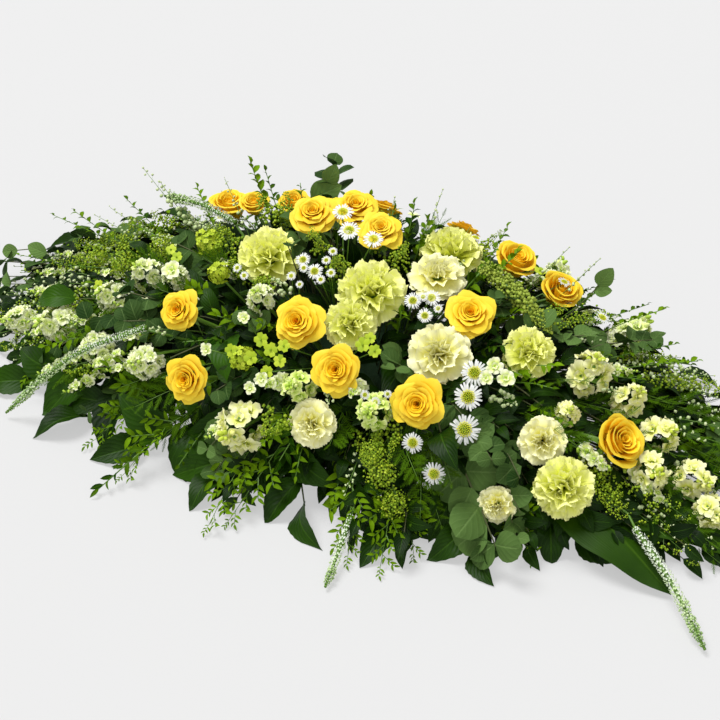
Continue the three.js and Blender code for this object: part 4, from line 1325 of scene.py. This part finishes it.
froth_twigs = [side_twig(seed, 12, 0.085, 0.4) for seed in (121, 122, 123)]
bud_twigs = [side_twig(seed, 3, 0.2, 0.16) for seed in (124, 125, 126)]
single_buds = [side_twig(seed, 1, 0.26, 0.05) for seed in (127, 128, 129)]
bud_white = finish(
    "white_bud",
    lambda place: toned(place, 80).blend((0.3, 0.46, 0.08), (0.86, 0.9, 0.62)),
    0.6,
    glow=0.06,
)
froth = Bunch()
for tip, dice in greens_of("froth"):
    put_plume(froth, route_to(tip, dice), froth_twigs, 12, dice.uniform(0.018, 0.024), dice, first=0.62)
dice = random.Random(132)
for place in ((396, -126, 68), (408, -138, 64), (420, -140, 60), (404, -120, 72), (414, -128, 66)):
    put_plume(froth, route_to(metres(place), dice), froth_twigs, 12, 0.02, dice, first=0.6)
froth.piece("mantle_froth", [mantle_bead, green_stem])
LARGE_BUDDED = [(-366, 60, 222), (-340, 62, 205), (-325, 60, 199)]
BUDDED = [
    (-450, 50, 130), (-422, 50, 150), (-273, 120, 200), (68, 100, 282), (237, 120, 232),
    (278, 120, 226), (458, 50, 150), (0, 100, 252), (520, 30, 96),
]
LEAFY = [
    (-480, 40, 135), (-511, 30, 125), (-560, 0, 60), (-218, 100, 250), (-195, 100, 245),
    (-141, 100, 238), (156, 110, 246), (349, 120, 180), (374, 100, 192), (437, 50, 165),
    (100, 120, 225), (540, 40, 80), (20, 120, 238), (180, 90, 228), (300, 110, 205), (-300, 90, 196),
    (-400, 60, 165), (400, 80, 160),
]
buds = Bunch()
for tip, dice in greens_of("bud"):
    put_plume(buds, route_to(tip, dice), bud_twigs, 12, dice.uniform(0.01, 0.015), dice, first=0.6)
dice = random.Random(131)
for places, size in ((LARGE_BUDDED, 0.013), (BUDDED, 0.01)):
    for place in places:
        put_plume(buds, route_to(metres(place), dice, 0.01), single_buds, 14, size, dice, first=0.55)
leafy = Bunch()
for place in LEAFY:
    route, length = route_to(metres(place), dice, 0.01), dice.uniform(0.013, 0.02)
    put_branch(leafy, route, box_leaves, 11, length, dice, first=0.62, spread=0.8, twig=0.001)
leafy.piece("leafy_sprigs", [small_leaf, green_stem])
buds.piece("bud_sprays", [bud_white, green_stem])

# Studio. A plain pale floor, which fades into the pale room behind it, under soft light from
# above and a weaker one from the front.
plane = bmesh.new()
bmesh.ops.create_grid(plane, x_segments=1, y_segments=1, size=12)
floor = bpy.data.objects.new("floor", as_mesh(plane))
floor_grey = mottled(3, (0.218, 0.218, 0.218), (0.222, 0.222, 0.222))
floor_paint = finish("pale_floor", floor_grey, 0.9, Emission_Color=(1, 1, 1, 1), Emission_Strength=0.5)
floor.data.materials.append(floor_paint)
bpy.context.scene.collection.objects.link(floor)

bpy.context.scene.view_settings.view_transform = "Standard"
world = bpy.data.worlds.new("studio")
bpy.context.scene.world = world
world.use_nodes = True
room = world.node_tree.nodes["Background"].inputs
room["Color"].default_value = (1, 1, 1, 1)
room["Strength"].default_value = 0.44


def soft_sun(name, way, strength, spread):
    lamp = bpy.data.lights.new(name, "SUN")
    lamp.energy, lamp.angle = strength, math.radians(spread)
    light = bpy.data.objects.new(name, lamp)
    light.rotation_euler = (-Vector(way)).to_track_quat("-Z", "Y").to_euler()
    bpy.context.scene.collection.objects.link(light)


soft_sun("key", (-0.4, 0.0, 1.0), 3.4, 30)
soft_sun("fill", (0.5, -0.8, 0.6), 0.6, 50)

# Camera. Above the front right corner, looking down on the spray.
lens = bpy.data.cameras.new("camera")
lens.lens, lens.sensor_width = 82.5, 36
camera = bpy.data.objects.new("camera", lens)
aim = Vector((0, 0, 0.055))
elevation, azimuth, distance = math.radians(36), math.radians(27), 2.2
level = math.cos(elevation)
back = Vector((math.sin(azimuth) * level, -math.cos(azimuth) * level, math.sin(elevation)))
camera.location = aim + back * distance
camera.rotation_euler = (-back).to_track_quat("-Z", "Y").to_euler()
bpy.context.scene.collection.objects.link(camera)
bpy.context.scene.camera = camera
